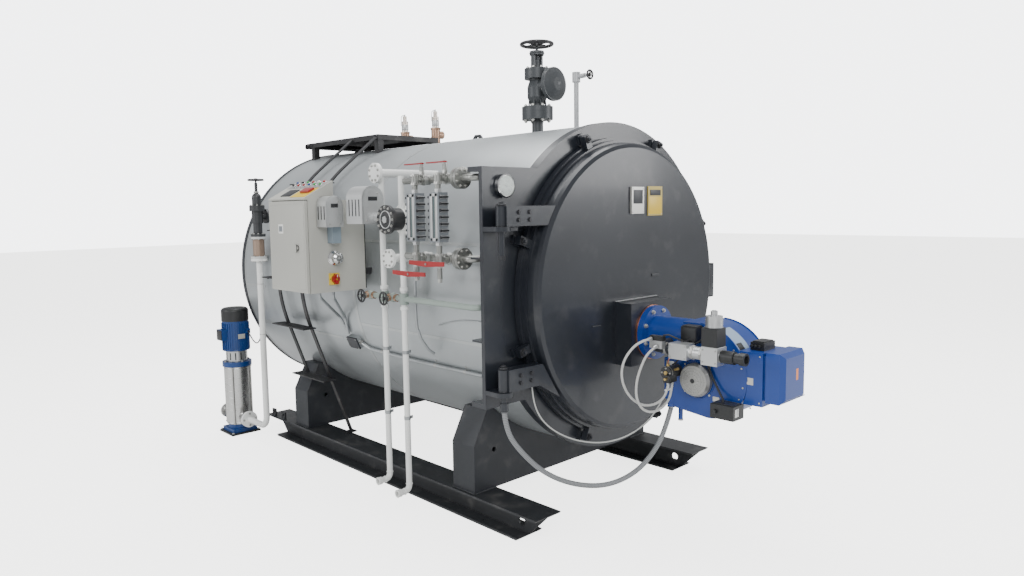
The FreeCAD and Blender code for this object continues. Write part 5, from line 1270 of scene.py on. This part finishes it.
def makeBurnerTrim(b):
    cy, cz = b["cover"]
    y, z = b["centre"]
    Shape("burnerFlangeSeal", "copper", "gas_silver", "door").hoop(0.1565, 0.1625, back(-264), back(-270),
            (0, 0, b["neck"]), Y, 72).finish()
    seams = Shape("voluteSeams", "burnerBlue", "burner_blue", "door")
    for x in (-b["half"], b["half"] - 0.008):
        arcPlate(seams, b["centre"], b["radius"], 2, 88, x, x + 0.008, 0.005)
    for dx in (-1, 1):
        seams.ring((dx * (b["half"] + 0.0002), cy, cz), X, 0.104, 0.004, 64, 8)
        seams.sheet([(dx * b["half"], back(-444), 0.775), (dx * b["half"], back(-452), 0.775),
                     (dx * b["half"], back(-452), 1.000), (dx * b["half"], back(-444), 1.000)], X * dx * 0.004)
    seams.peg((0.130, cy, cz), X * 0.006, 0.090, 48, 0.002)
    seams.block((-0.118, back(-1149.5), 0.856), (0.118, back(-1146), 0.860))
    seams.finish(0.0006)
    motor = Shape("burnerMotorShell", "burnerBlue", "burner_blue", "door")
    motor.lathe([(0.070, 0), (0.070, 0.052), (0.060, 0.060), (0, 0.062)], (0.1358, cy, cz), X, 40)
    for k in range(20):
        a = math.tau * k / 20
        spot = Vector((0.162, cy + 0.0715 * math.cos(a), cz + 0.0715 * math.sin(a)))
        motor.block((-0.023, -0.0016, -0.004), (0.023, 0.0016, 0.004), 0.0,
                    Matrix.Translation(spot) @ Matrix.Rotation(a - math.pi / 2, 4, "X"))
    motor.finish(0.0006)
    glass = Shape("burnerPanel", "panelBlue", "burner_blue", "door")
    arcPlate(glass, b["centre"], b["radius"] + 0.0003, 24, 60, -0.126, -0.012, 0.0022)
    glass.finish()
    dark = Shape("burnerPanelInset", "blackPlastic", "black_plastic", "door")
    arcPlate(dark, b["centre"], b["radius"] + 0.0024, 47, 56, -0.112, -0.060, 0.0014)
    dark.finish()
    screws = Shape("burnerScrews", "boltSteel", "steel_bright", "door")
    for angle in (8, 30, 52, 74, 96, 118, 140, 162):
        a = math.radians(angle)
        spot = Vector((-b["half"], y - 0.270 * math.sin(a), z + 0.270 * math.cos(a)))
        if spot.z > 0.72:
            screws.rod(spot, spot - X * 0.0035, 0.0055, 6)
            screws.rod(Vector((-spot.x, spot.y, spot.z)), Vector((-spot.x + 0.0035, spot.y, spot.z)), 0.0055, 6)
    for dy, dz in corners(0.065, 0.065):
        screws.peg((-0.1300, cy + dy * 1.18, cz + dz * 1.18), -X * 0.0045, 0.0065, 6)
    for d in (905, 1020):
        for height in (0.835, 1.080):
            screws.peg((-0.1280, back(-d), height), -X * 0.003, 0.0050, 12, 0.001)
            screws.peg((0.1280, back(-d), height), X * 0.003, 0.0050, 12, 0.001)
    screws.finish(0.0004)
    label = Shape("airBoxLabel", "paleLabel", "label_silver", "door")
    label.block((-0.1292, back(-985), 0.925), (-0.1279, back(-930), 0.962), 0.0004)
    label.block((-0.1312, back(-792), 0.800), (-0.1299, back(-752), 0.826), 0.0004)
    label.finish()
    cover = Shape("motorGrille", "boltSteel", "gas_silver", "door")

    def front(r):
        return -0.1303 - (0.052 - 0.008 * r / 0.082 if r < 0.082 else 0.044 - 0.018 * (r - 0.082) / 0.012)

    for r in (0.018, 0.034, 0.050, 0.066, 0.082):
        cover.ring((front(r), cy, cz), X, r, 0.0016, 48, 6)
    for k in range(12):
        a = math.tau * k / 12
        cover.wire([(front(r), cy + r * math.cos(a), cz + r * math.sin(a)) for r in (0.012, 0.05, 0.082,
                0.0935)], 0.0018, 6)
    cover.finish()
    Shape("motorGrilleDark", "rubberAndShade", "black_plastic", "door").peg((front(0.0) + 0.0006, cy, cz), -X * 0.0012,
            0.013, 24).finish()
    pump = Shape("oilPumpFittings", "brass", "gas_silver", "door")
    py, pz = b["pump"]
    pump.peg((-0.240, py, pz), -X * 0.006, 0.012, 6)
    pump.rod((-0.222, py + 0.0, pz + 0.034), (-0.222, py, pz + 0.050), 0.009, 6)
    pump.rod((-0.200, py - 0.030, pz + 0.016), (-0.200, py - 0.056, pz + 0.026), 0.008, 6)
    pump.peg((-0.262, py - 0.017, 0.912), -X * 0.016, 0.008, 6)
    pump.finish(0.0005)
    pumpBolts = Shape("oilPumpBolts", "boltSteel", "gas_silver", "door")
    bolts(pumpBolts, (-0.2402, py, pz), -X, 0.026, 4, 0.005, 0.004)
    pumpBolts.peg((-0.2300, py, pz), X * 0.004, 0.0372, 40)
    pumpBolts.finish()
    ferrules = Shape("hoseFerrules", "silverBlock", "gas_silver", "door")
    for x in (-0.243, -0.206):
        ferrules.peg((x, back(-541), 0.8898), -Z * 0.0138, 0.0105, 6)
        ferrules.hoop(0.0072, 0.0092, 0.876, 0.858, (x, back(-541), 0), Z, 24)
    for spot, toward in (((-0.3366, back(-497), 1.143), (-0.385, back(-487), 1.141)),
                         ((-0.3392, back(-533), 1.108), (-0.396, back(-516), 1.080))):
        way = (Vector(toward) - Vector(spot)).normalized()
        ferrules.hoop(0.0072, 0.0105, 0.004, 0.026, spot, way, 24)
    ferrules.finish(0.0004)
    box = Shape("controlBoxLid", "blackPlastic", "black_plastic", "door")
    box.block((-0.2068, back(-688), 1.124), (-0.2048, back(-597), 1.200), 0.001)
    box.block((-0.200, back(-686), 1.2058), (-0.136, back(-599), 1.2120), 0.002)
    box.block((-0.225, back(-930), 0.8178), (-0.150, back(-805), 0.8225), 0.001)
    box.block((-0.050, back(-1002), 1.1400), (0.050, back(-936), 1.1460), 0.002)
    for k in range(3):
        box.peg((-0.060, back(-985) + 0.022 * k, 1.120), -X * 0.014, 0.008, 16, 0.001)
    box.peg((-0.239, back(-830), 0.780), -X * 0.015, 0.011, 20, 0.001)
    box.finish()
    tag = Shape("servoTag", "white", "label_silver", "door")
    tag.block((-0.220, back(-935) - 0.0012, 0.760), (-0.196, back(-935) + 0.0002, 0.802), 0.0003)
    tag.block((-0.192, back(-935) - 0.0012, 0.760), (-0.184, back(-935) + 0.0002, 0.802), 0.0003)
    tag.finish()
    gx, gz = b["gas"]
    gas = Shape("gasValveBolts", "boltSteel", "gas_silver", "door")
    for d in (590, 700, 790, 885):
        for dz in (-0.032, 0.032):
            gas.rod((gx - 0.0415 if d < 750 else gx - 0.0475, back(-d) + (-0.010 if d in (590, 790) else 0.010),
                     gz + dz), (gx - 0.0460 if d < 750 else gx - 0.0520,
                                back(-d) + (-0.010 if d in (590, 790) else 0.010), gz + dz), 0.0055, 6)
    for d, r in ((720, 0.040), (775, 0.040), (588, 0.036), (552, 0.034)):
        gas.peg((gx, back(-d) - 0.006, gz), Y * 0.012, r, 8)
    gas.finish(0.0006)
    dome = Shape("actuatorDome", "silverBlock", "gas_silver", "door")
    top = gz + 0.0463 + 0.100
    for dz, r in ((0.004, 0.0465), (0.020, 0.0452), (0.030, 0.0452), (0.040, 0.0452), (0.061, 0.0400)):
        dome.ring((gx, back(-838), top + dz), Z, r, 0.0012, 48, 6)
    dome.peg((gx, back(-838), top + 0.087), Z * 0.0035, 0.0125, 6)
    dome.finish()
    cables = Shape("burnerWiring", "rubberAndShade", "cable_black", "door")
    cables.wire(route([(-205, -650, 1136), (-232, -640, 1128), (-262, -612, 1146), (-285, -570, 1166),
                       (-300, -545, 1161.2)]), 0.0045, 8)
    cables.wire(route([(-205, -672, 1132), (-228, -690, 1116), (-236, -742, 1150), (-260, -790, 1168)]), 0.0045,
                8)
    cables.wire(route([(-130, -700, 1070), (-142, -716, 1020), (-146, -760, 930), (-150, -800, 868),
                       (-170, -836, 832), (-186, -850, 818.2)]), 0.0065, 8)
    cables.wire(route([(-176, -600, 1118), (-170, -570, 1080), (-158, -560, 1020), (-168, -540, 990),
                       (-180, -524, 976)]), 0.0040, 8)
    cables.wire(route([(-158, -612, 1118), (-160, -600, 1060), (-150, -590, 1020), (-140, -600, 1000)]), 0.0040,
                8)
    cables.finish()
    Shape("oilCopperLine", "copper", "gas_silver", "door").wire([(-0.222, py, pz + 0.050),
            (-0.222, py - 0.002, pz + 0.066), (-0.206, py - 0.010, pz + 0.092), (-0.170, py - 0.016,
                    pz + 0.112), (-0.130, py - 0.018, pz + 0.118)], 0.0032, 8).finish()
    Shape("burnerBracket", "silverBlock", "gas_silver", "door").block((-0.1318, back(-505), 0.900),
            (-0.1299, back(-450), 0.985), 0.0006).finish()
    stubs = Shape("volutePlugs", "galvanised", "gas_silver", "door")
    stubs.peg((-0.060, back(-505), 0.640), -Z * 0.01, 0.0155, 6)
    stubs.ring((-0.112, back(-476), 0.7175), Z, 0.0225, 0.0025, 32, 8)
    stubs.finish(0.0006)
    Shape("hoseClip", "white", "hose_braid", "door").block((-0.262, back(-541), 0.8420),
            (-0.196, back(-530), 0.8520), 0.002).finish()


makeBurnerTrim(burnerFacts)
print("burner OK")

# Feed pump.
pumpFacts = {"x": -1.030, "y": back(3240), "sleeve": (0.0823, 0.572), "radius": 0.104,
             "motor": (0.7053, 0.956, 1.0653), "motorRadius": 0.106}


def makePumpTrim(p):
    x, y = p["x"], p["y"]
    low, high = p["sleeve"]
    rods = Shape("pumpTieRods", "boltSteel", "steel_bright")
    for k in range(4):
        a = math.radians(45 + 90 * k)
        spot = Vector((x + 0.1105 * math.cos(a), y + 0.1105 * math.sin(a), 0))
        rods.rod(spot + Z * (low + 0.002), spot + Z * (high - 0.001), 0.006, 12)
        rods.rod(spot + Z * (high - 0.010), spot + Z * (high - 0.0005), 0.011, 6)
        rods.rod(spot + Z * (low + 0.001), spot + Z * (low + 0.010), 0.011, 6)
    for dx, dy in corners(0.095, 0.095):
        rods.peg((x + dx * 1.16, y + dy * 1.16, 0.0141), Z * 0.0099, 0.011, 6)
    bolts(rods, (x, y, 0.6124), Z, 0.100, 4, 0.009, 0.008)
    rods.finish(0.0006)
    seams = Shape("pumpSleeveBands", "stainless", "steel_bright")
    for z in (low + 0.012, high - 0.014):
        seams.ring((x, y, z), Z, p["radius"] + 0.0004, 0.0022, 64, 8)
    for k in range(6):
        z = 0.20 + 0.055 * k
        seams.ring((x, y, z), Z, p["radius"] - 0.0002, 0.0010, 64, 6)
    seams.finish()
    Shape("lanternGuard", "silverBlock", "steel_bright").hoop(0.0822, 0.0850, 0.6150, 0.7020, (x, y, 0), Z,
            48).finish()
    # Black bars on the lantern guard for its openings: painted shade in the slots.
    Shape("lanternSlotShade", "rubberAndShade", "steel_bright").add(finRing.grow(Count=12, Radius=0.0850,
            Size=(0.0012, 0.010, 0.060)), Matrix.Translation((x, y, 0.659))).finish()
    fins = Shape("motorFins", "blue", "motor_blue")
    bottom, cap, top = p["motor"]
    fins.add(finRing.grow(Count=36, Radius=p["motorRadius"] + 0.0028,
                          Size=(0.0072, 0.0032, cap - bottom - 0.030)), Matrix.Translation((x, y,
                                  (bottom + cap) / 2)))
    fins.ring((x, y, bottom + 0.006), Z, p["motorRadius"] + 0.002, 0.0045, 64, 8)
    fins.finish()
    # Black rings on the fan cover's top for its slots: painted shade in the openings.
    grille = Shape("fanCoverSlotShade", "rubberAndShade", "motor_blue")
    for r in (0.030, 0.048, 0.066, 0.084 - 0.006):
        grille.hoop(r - 0.004, r + 0.004, top - 0.0002, top + 0.0006, (x, y, 0), Z, 48)
    grille.finish()
    lid = Shape("motorTerminalLid", "blackPlastic", "black_plastic")
    lid.block((x - 0.1446, y - 0.046, 0.804), (x - 0.1396, y + 0.046, 0.886), 0.002)
    lid.peg((-0.970, back(3127) - 0.0002, 0.866), -Y * 0.0098, 0.009, 20, 0.001)
    lid.finish()
    Shape("motorPlate", "paleLabel", "label_silver").block((x - 0.030, y - p["motorRadius"] - 0.0080, 0.810),
            (x + 0.030, y - p["motorRadius"] - 0.0062, 0.850), 0.0004).finish()


makePumpTrim(pumpFacts)
print("pump OK")

# Platform and ladder.
climbFacts = {
    "platform": ((-0.350, 0.250), (back(2040), back(3130)), 2.450), "treads": (0.600, 1.010, 1.370, 1.720, 2.065),
    "treadY": (back(1985), back(2465)), "foot": (-0.664, 0.1595), "middle": 1.041, "stringers": (back(2060),
            back(2400)),
}


def makeClimbTrim(c):
    (x0, x1), (y0, y1), top = c["platform"]
    deck = Shape("platformTreadBars", "ladderPaint", "black_paint")
    bars(deck, (x0 + 0.026, (y0 + y1) / 2, top + 0.0006), X, Z, 22, 0.026, (0.005, y1 - y0 - 0.03, 0.0016))
    for x in (x0, x1):
        deck.block((x - 0.0020, y0 + 0.004, top - 0.040), (x + 0.0020, y1 - 0.004, top - 0.0345), 0.0005)
    deck.finish()
    pins = Shape("platformBolts", "darkBolt", "black_paint")
    for y in (y0 + 0.031, 1.642 - 0.055):
        for x in (x0, x1):
            side = -1 if x == x0 else 1
            pins.peg((x, y, top - 0.020), X * (side * 0.006), 0.008, 6)
    foot, footZ = c["foot"]
    reach = math.hypot(foot, axisZ - footZ)
    low = math.pi - math.atan2(-foot, axisZ - footZ) - math.acos(c["middle"] / reach)
    ribs = Shape("treadRibs", "ladderPaint", "black_paint")
    for z in c["treads"]:
        angle = math.acos(max(-1.0, min(1.0, (z - axisZ) / c["middle"])))
        x = foot - (z - footZ) * math.tan(low - math.pi / 2) if angle > low else -c["middle"] * math.sin(angle)
        bars(ribs, (x - 0.054, c["treadY"][1] - 0.020, z + 0.0086), -Y, Z, 18, 0.026, (0.005, 0.090, 0.0016))
        for y in c["stringers"]:
            pins.peg((x - 0.086, y, z), -Z * 0.006, 0.008, 6)
            pins.peg((x - 0.040, y, z), -Z * 0.006, 0.008, 6)
    ribs.finish()
    y = c["stringers"][0]
    pins.block((foot - 0.060, y - 0.034, footZ + 0.0002), (foot + 0.030, y + 0.034, footZ + 0.007), 0.001)
    for dx in (-0.046, 0.016):
        for dy in (-0.024, 0.024):
            pins.peg((foot + dx, y + dy, footZ + 0.007), Z * 0.007, 0.007, 6)
    pins.finish(0.0005)


makeClimbTrim(climbFacts)

# Skids and saddles.
baseFacts = {"skid": (0.6765, 0.878), "top": 0.1595, "saddles": (407, 2381), "long": 0.200, "wide": 0.852,
             "lugs": (2735, 2895)}


def makeBaseTrim(b):
    top, wide = b["top"], b["wide"]
    welds = Shape("saddleWelds", "flatEnamel", "dark_enamel")
    x0, x1 = b["skid"]
    for side in (-1, 1):
        for distance in b["saddles"]:
            ya, yb = back(distance), back(distance) + b["long"]
            for y in (ya - 0.002, yb + 0.002):
                welds.wire([(side * (x0 + 0.002), y, top + 0.002), (side * wide, y, top + 0.002)], 0.005, 8)
            welds.wire([(side * (wide + 0.002), ya, top + 0.002), (side * (wide + 0.002), yb, top + 0.002)],
                       0.005, 8)
        for distance in b["lugs"]:
            y = back(distance)
            x = side * (x0 + 0.012) if side > 0 else side * (x1 - 0.012)
            for edge in (x - 0.007, x + 0.007):
                welds.wire([(edge, y + 0.002, top + 0.001), (edge, y + 0.054, top + 0.001)], 0.003, 8)
    welds.finish()


makeBaseTrim(baseFacts)
print("base OK")

# Conduits and wires along the shell.
runFacts = {"lift": 0.0145, "clips": ((117.5, 420), (117.5, 700), (117.3, 980), (116.8, 1260)),
            "box": (114.0, 1545)}


def makeRunTrim(r):
    clips = Shape("conduitClips", "boltSteel", "galvanised")
    for angle, distance in r["clips"]:
        spot = onShell(angle, distance, r["lift"])
        clips.hoop(0.0121, 0.0141, -0.009, 0.009, spot, Y, 24)
        for side in (-1.55, 1.55):
            foot = onShell(angle + side, distance, 0.0)
            outward = (onShell(angle + side, distance, 0.01) - foot).normalized()
            clips.rod(foot, foot + outward * 0.006, 0.006, 6)
    clips.finish(0.0004)
    angle, distance = r["box"]
    place = Matrix.Translation((0, back(distance), axisZ)) @ Matrix.Rotation(math.radians(-angle), 4,
            "Y") @ Matrix.Translation((0, 0, 0.989))
    Shape("junctionLid", "flatEnamel", "galvanised").block((-0.042, -0.062, 0.036), (0.042, 0.062, 0.0485),
            0.002, place).finish()
    screws = Shape("junctionScrews", "boltSteel", "steel_bright")
    for dx, dy in corners(0.034, 0.054):
        screws.rod(place @ Vector((dx, dy, 0.048)), place @ Vector((dx, dy, 0.0500)), 0.0042, 12)
    for dy, side in ((-0.060, -1), (0.060, 1)):
        screws.rod(place @ Vector((0, dy, 0.020)), place @ Vector((0, dy + side * 0.016, 0.020)), 0.0150, 6)
    screws.finish()
    wires = Shape("capillaryLines", "galvanised", "galvanised")
    wires.wire([onShell(a, d, 0.005) for a, d in ((101, 560), (99, 430), (98, 330), (97.6, 200), (98.2, 130),
                                                  (100, 98), (104, 88), (112, 86), (126, 86))], 0.0030, 8)
    wires.wire(route([(-1060, 668, 1590), (-1060, 668, 1250), (-1056, 664, 1170), (-1035, 655, 1100),
                      (-990, 645, 1030), (-950, 640, 1000)]), 0.0090, 12)
    wires.finish()


makeRunTrim(runFacts)
print("runs OK")

# Rear cover.
rearFacts = {"cover": 1.682, "hood": 1.832, "pitch": 0.972, "hoodPitch": 0.730, "hatch": (0.0, 1.080),
             "hatchRadius": 0.215}


def makeRearTrim(r):
    hood, reach = r["hood"], r["hatchRadius"]
    studs = Shape("rearCoverBolts", "darkBolt", "dark_enamel")
    bolts(studs, (0, r["cover"], axisZ), Y, r["pitch"], 40, 0.0095, 0.009)
    bolts(studs, (0, hood, axisZ), Y, r["hoodPitch"], 30, 0.0085, 0.008)
    x, z = r["hatch"]
    bolts(studs, (x, hood + 0.0142, z), Y, reach - 0.025, 12, 0.0085, 0.008)
    studs.finish()
    hatch = Shape("rearHatch", "flatEnamel", "dark_enamel")
    hatch.lathe([(0, 0.0002), (reach, 0.0002), (reach, 0.0120), (reach - 0.002, 0.0142), (0, 0.0142)],
                (x, hood, z), Y, 72)
    for side in (-1, 1):
        spot = Vector((x + side * 0.10, hood + 0.0142, z))
        hatch.wire([spot - Z * 0.05, spot - Z * 0.05 + Y * 0.034, spot + Z * 0.05 + Y * 0.034, spot + Z * 0.05],
                   0.006, 10)
    hatch.ring((0, hood, axisZ), Y, 0.757, 0.006, 128, 8)
    hatch.ring((0, 1.8325, 1.790), Y, 0.203, 0.006, 72, 8)
    hatch.hoop(0.078, 0.090, 0.0002, 0.020, (-0.34, hood, 1.50), Y, 40)
    hatch.finish(0.0008)
    Shape("rearSightGlass", "dirtyGlass", "dark_enamel").peg((-0.34, hood + 0.0002, 1.50), Y * 0.0118, 0.0778,
            40).finish()


makeRearTrim(rearFacts)
print("rear OK")

# Tube plate and door lining, seen with the door open.
tubeFacts = {"face": back(190), "pitch": 0.094, "radius": 0.031, "reach": 0.83, "furnace": (1.115, 0.475),
             "floor": 1.02}


def tubeSpots(t):
    spots = []
    rows = int(t["reach"] / (t["pitch"] * 0.866)) + 1
    for j in range(-rows, rows + 1):
        for i in range(-11, 12):
            x, z = (i + 0.5 * (j % 2)) * t["pitch"], axisZ + j * t["pitch"] * 0.866
            clear = math.hypot(x, z - t["furnace"][0]) > t["furnace"][1] and math.hypot(x, z - axisZ) < t["reach"]
            if clear and z > t["floor"]:
                spots.append((x, z))
    return spots


def makeTubePlateTrim(t):
    # The tube ends, with a flat black disc just behind each mouth: painted shade of the deep bores, over their
    # soot.
    ends = Shape("smokeTubeEnds", "scaledSteel", "raw_steel")
    boreShade = Shape("smokeTubeBoreShade", "sootAndShade", "raw_steel")
    r = t["radius"]
    for x, z in tubeSpots(t):
        ends.lathe([(r, 0.0001), (r + 0.003, 0.0001), (r + 0.001, -0.005), (r - 0.004, -0.005),
                    (r - 0.004, 0.0001), (r, 0.0001)], (x, t["face"], z), Y, 14)
        boreShade.lathe([(0, -0.0006), (r - 0.0045, -0.0006)], (x, t["face"], z), Y, 14)
    ends.lathe([(0.374, 0.0001), (0.402, 0.0001), (0.398, -0.006), (0.378, -0.006), (0.374, 0.0001)],
               (0, t["face"], t["furnace"][0]), Y, 72)
    ends.finish()
    boreShade.finish()
    lining = Shape("liningAnchors", "scaledSteel", "refractory", "door")
    for pitch, count in ((0.720, 24), (0.520, 18), (0.340, 12)):
        lining.add(boltCircle.grow(Count=count, Pitch=pitch, Head=0.009, Height=0.002),
                   Matrix.Translation((0, back(-12), axisZ)) @ basis(Y))
    lining.finish()
    joints = Shape("liningJoints", "sootAndShade", "refractory", "door")
    for k in range(8):
        a = math.radians(22.5 + 45 * k)
        base = Vector((0, back(-12) + 0.0001, axisZ))
        strip(joints, base, a, 0.43, 0.815, 0.002, 0.002, Y * 0.0008)
    joints.finish()


makeTubePlateTrim(tubeFacts)
print("tube plate OK")

# Small fittings on the feed line.
fittings = Shape("lineUnions", "boltSteel", "steel_bright")
for z in (0.90, 1.30):
    fittings.ring((feedX, back(feedDistance), z), Z, 0.0245, 0.0022, 32, 8)
fittings.peg((feedX, back(feedDistance), 1.966), Z * 0.018, 0.030, 6)
fittings.peg((feedX, back(feedDistance), 2.010), Z * 0.014, 0.020, 6)
fittings.finish(0.0006)
print("small fittings OK")


# Floor and light.
stageSetup = {
    "reach": 40.0, "floorColour": (0.86, 0.86, 0.85), "world": (0.97, 0.98,
            1.0), "worldStrength": 0.60, "backdropLift": 4.5, "floorGlow": 3.4,
    "lamps": [
        {"name": "keySoftbox", "place": (-6.5, -7.5, 6.5), "aim": (0.0, -1.0, 1.2), "size": 5.0, "power": 620},
        {"name": "topSoftbox", "place": (0.5, 0.5, 7.5), "aim": (0.0, 0.2, 1.4), "size": 6.0, "power": 520},
        {"name": "sideSoftbox", "place": (-8.0, 3.0, 4.0), "aim": (-0.5, 0.5, 1.2), "size": 4.0, "power": 260},
        {"name": "frontStrip", "place": (5.5, -7.0, 3.6), "aim": (0.2, -1.6, 1.3), "size": 3.0, "power": 260},
    ],
}


def makeStage(s):
    mesh = bpy.data.meshes.new("floor")
    r = s["reach"]
    mesh.from_pydata([(-r, -r, 0), (r, -r, 0), (r, r, 0), (-r, r, 0)], [], [(0, 1, 2, 3)])
    f = Finish("paleFloor")
    tone = f.blend(f.noise(1.4, 4.0).rate(0.3, 0.7), tuple(c * 0.97 for c in s["floorColour"]), s["floorColour"])
    f.join(f.shader.inputs["Base Color"], tone)
    f.shader.inputs["Roughness"].default_value = 0.6
    f.shader.inputs["Emission Color"].default_value = (*s["floorColour"], 1.0)
    seen = f.node("ShaderNodeLightPath", {}, {})
    f.join(f.shader.inputs["Emission Strength"], seen * s["floorGlow"])
    mesh.materials.append(f.material)
    floor = bpy.data.objects.new("floor", mesh)
    show(floor)
    world = bpy.data.worlds.new("studio")
    world.use_nodes = True
    sky = world.node_tree.nodes["Background"]
    sky.inputs[0].default_value = (*s["world"], 1.0)
    seen = world.node_tree.nodes.new("ShaderNodeLightPath")
    lift = world.node_tree.nodes.new("ShaderNodeMath")
    lift.operation = "MULTIPLY_ADD"
    lift.inputs[1].default_value, lift.inputs[2].default_value = s["backdropLift"], s["worldStrength"]
    world.node_tree.links.new(seen.outputs["Is Camera Ray"], lift.inputs[0])
    world.node_tree.links.new(lift.outputs[0], sky.inputs[1])
    bpy.context.scene.world = world
    for lamp in s["lamps"]:
        data = bpy.data.lights.new(lamp["name"], "AREA")
        data.energy, data.size = lamp["power"], lamp["size"]
        light = bpy.data.objects.new(lamp["name"], data)
        place = Vector(lamp["place"])
        light.rotation_euler = (Vector(lamp["aim"]) - place).to_track_quat("-Z", "Y").to_euler()
        light.location = place
        show(light)


makeStage(stageSetup)
print("stage OK")
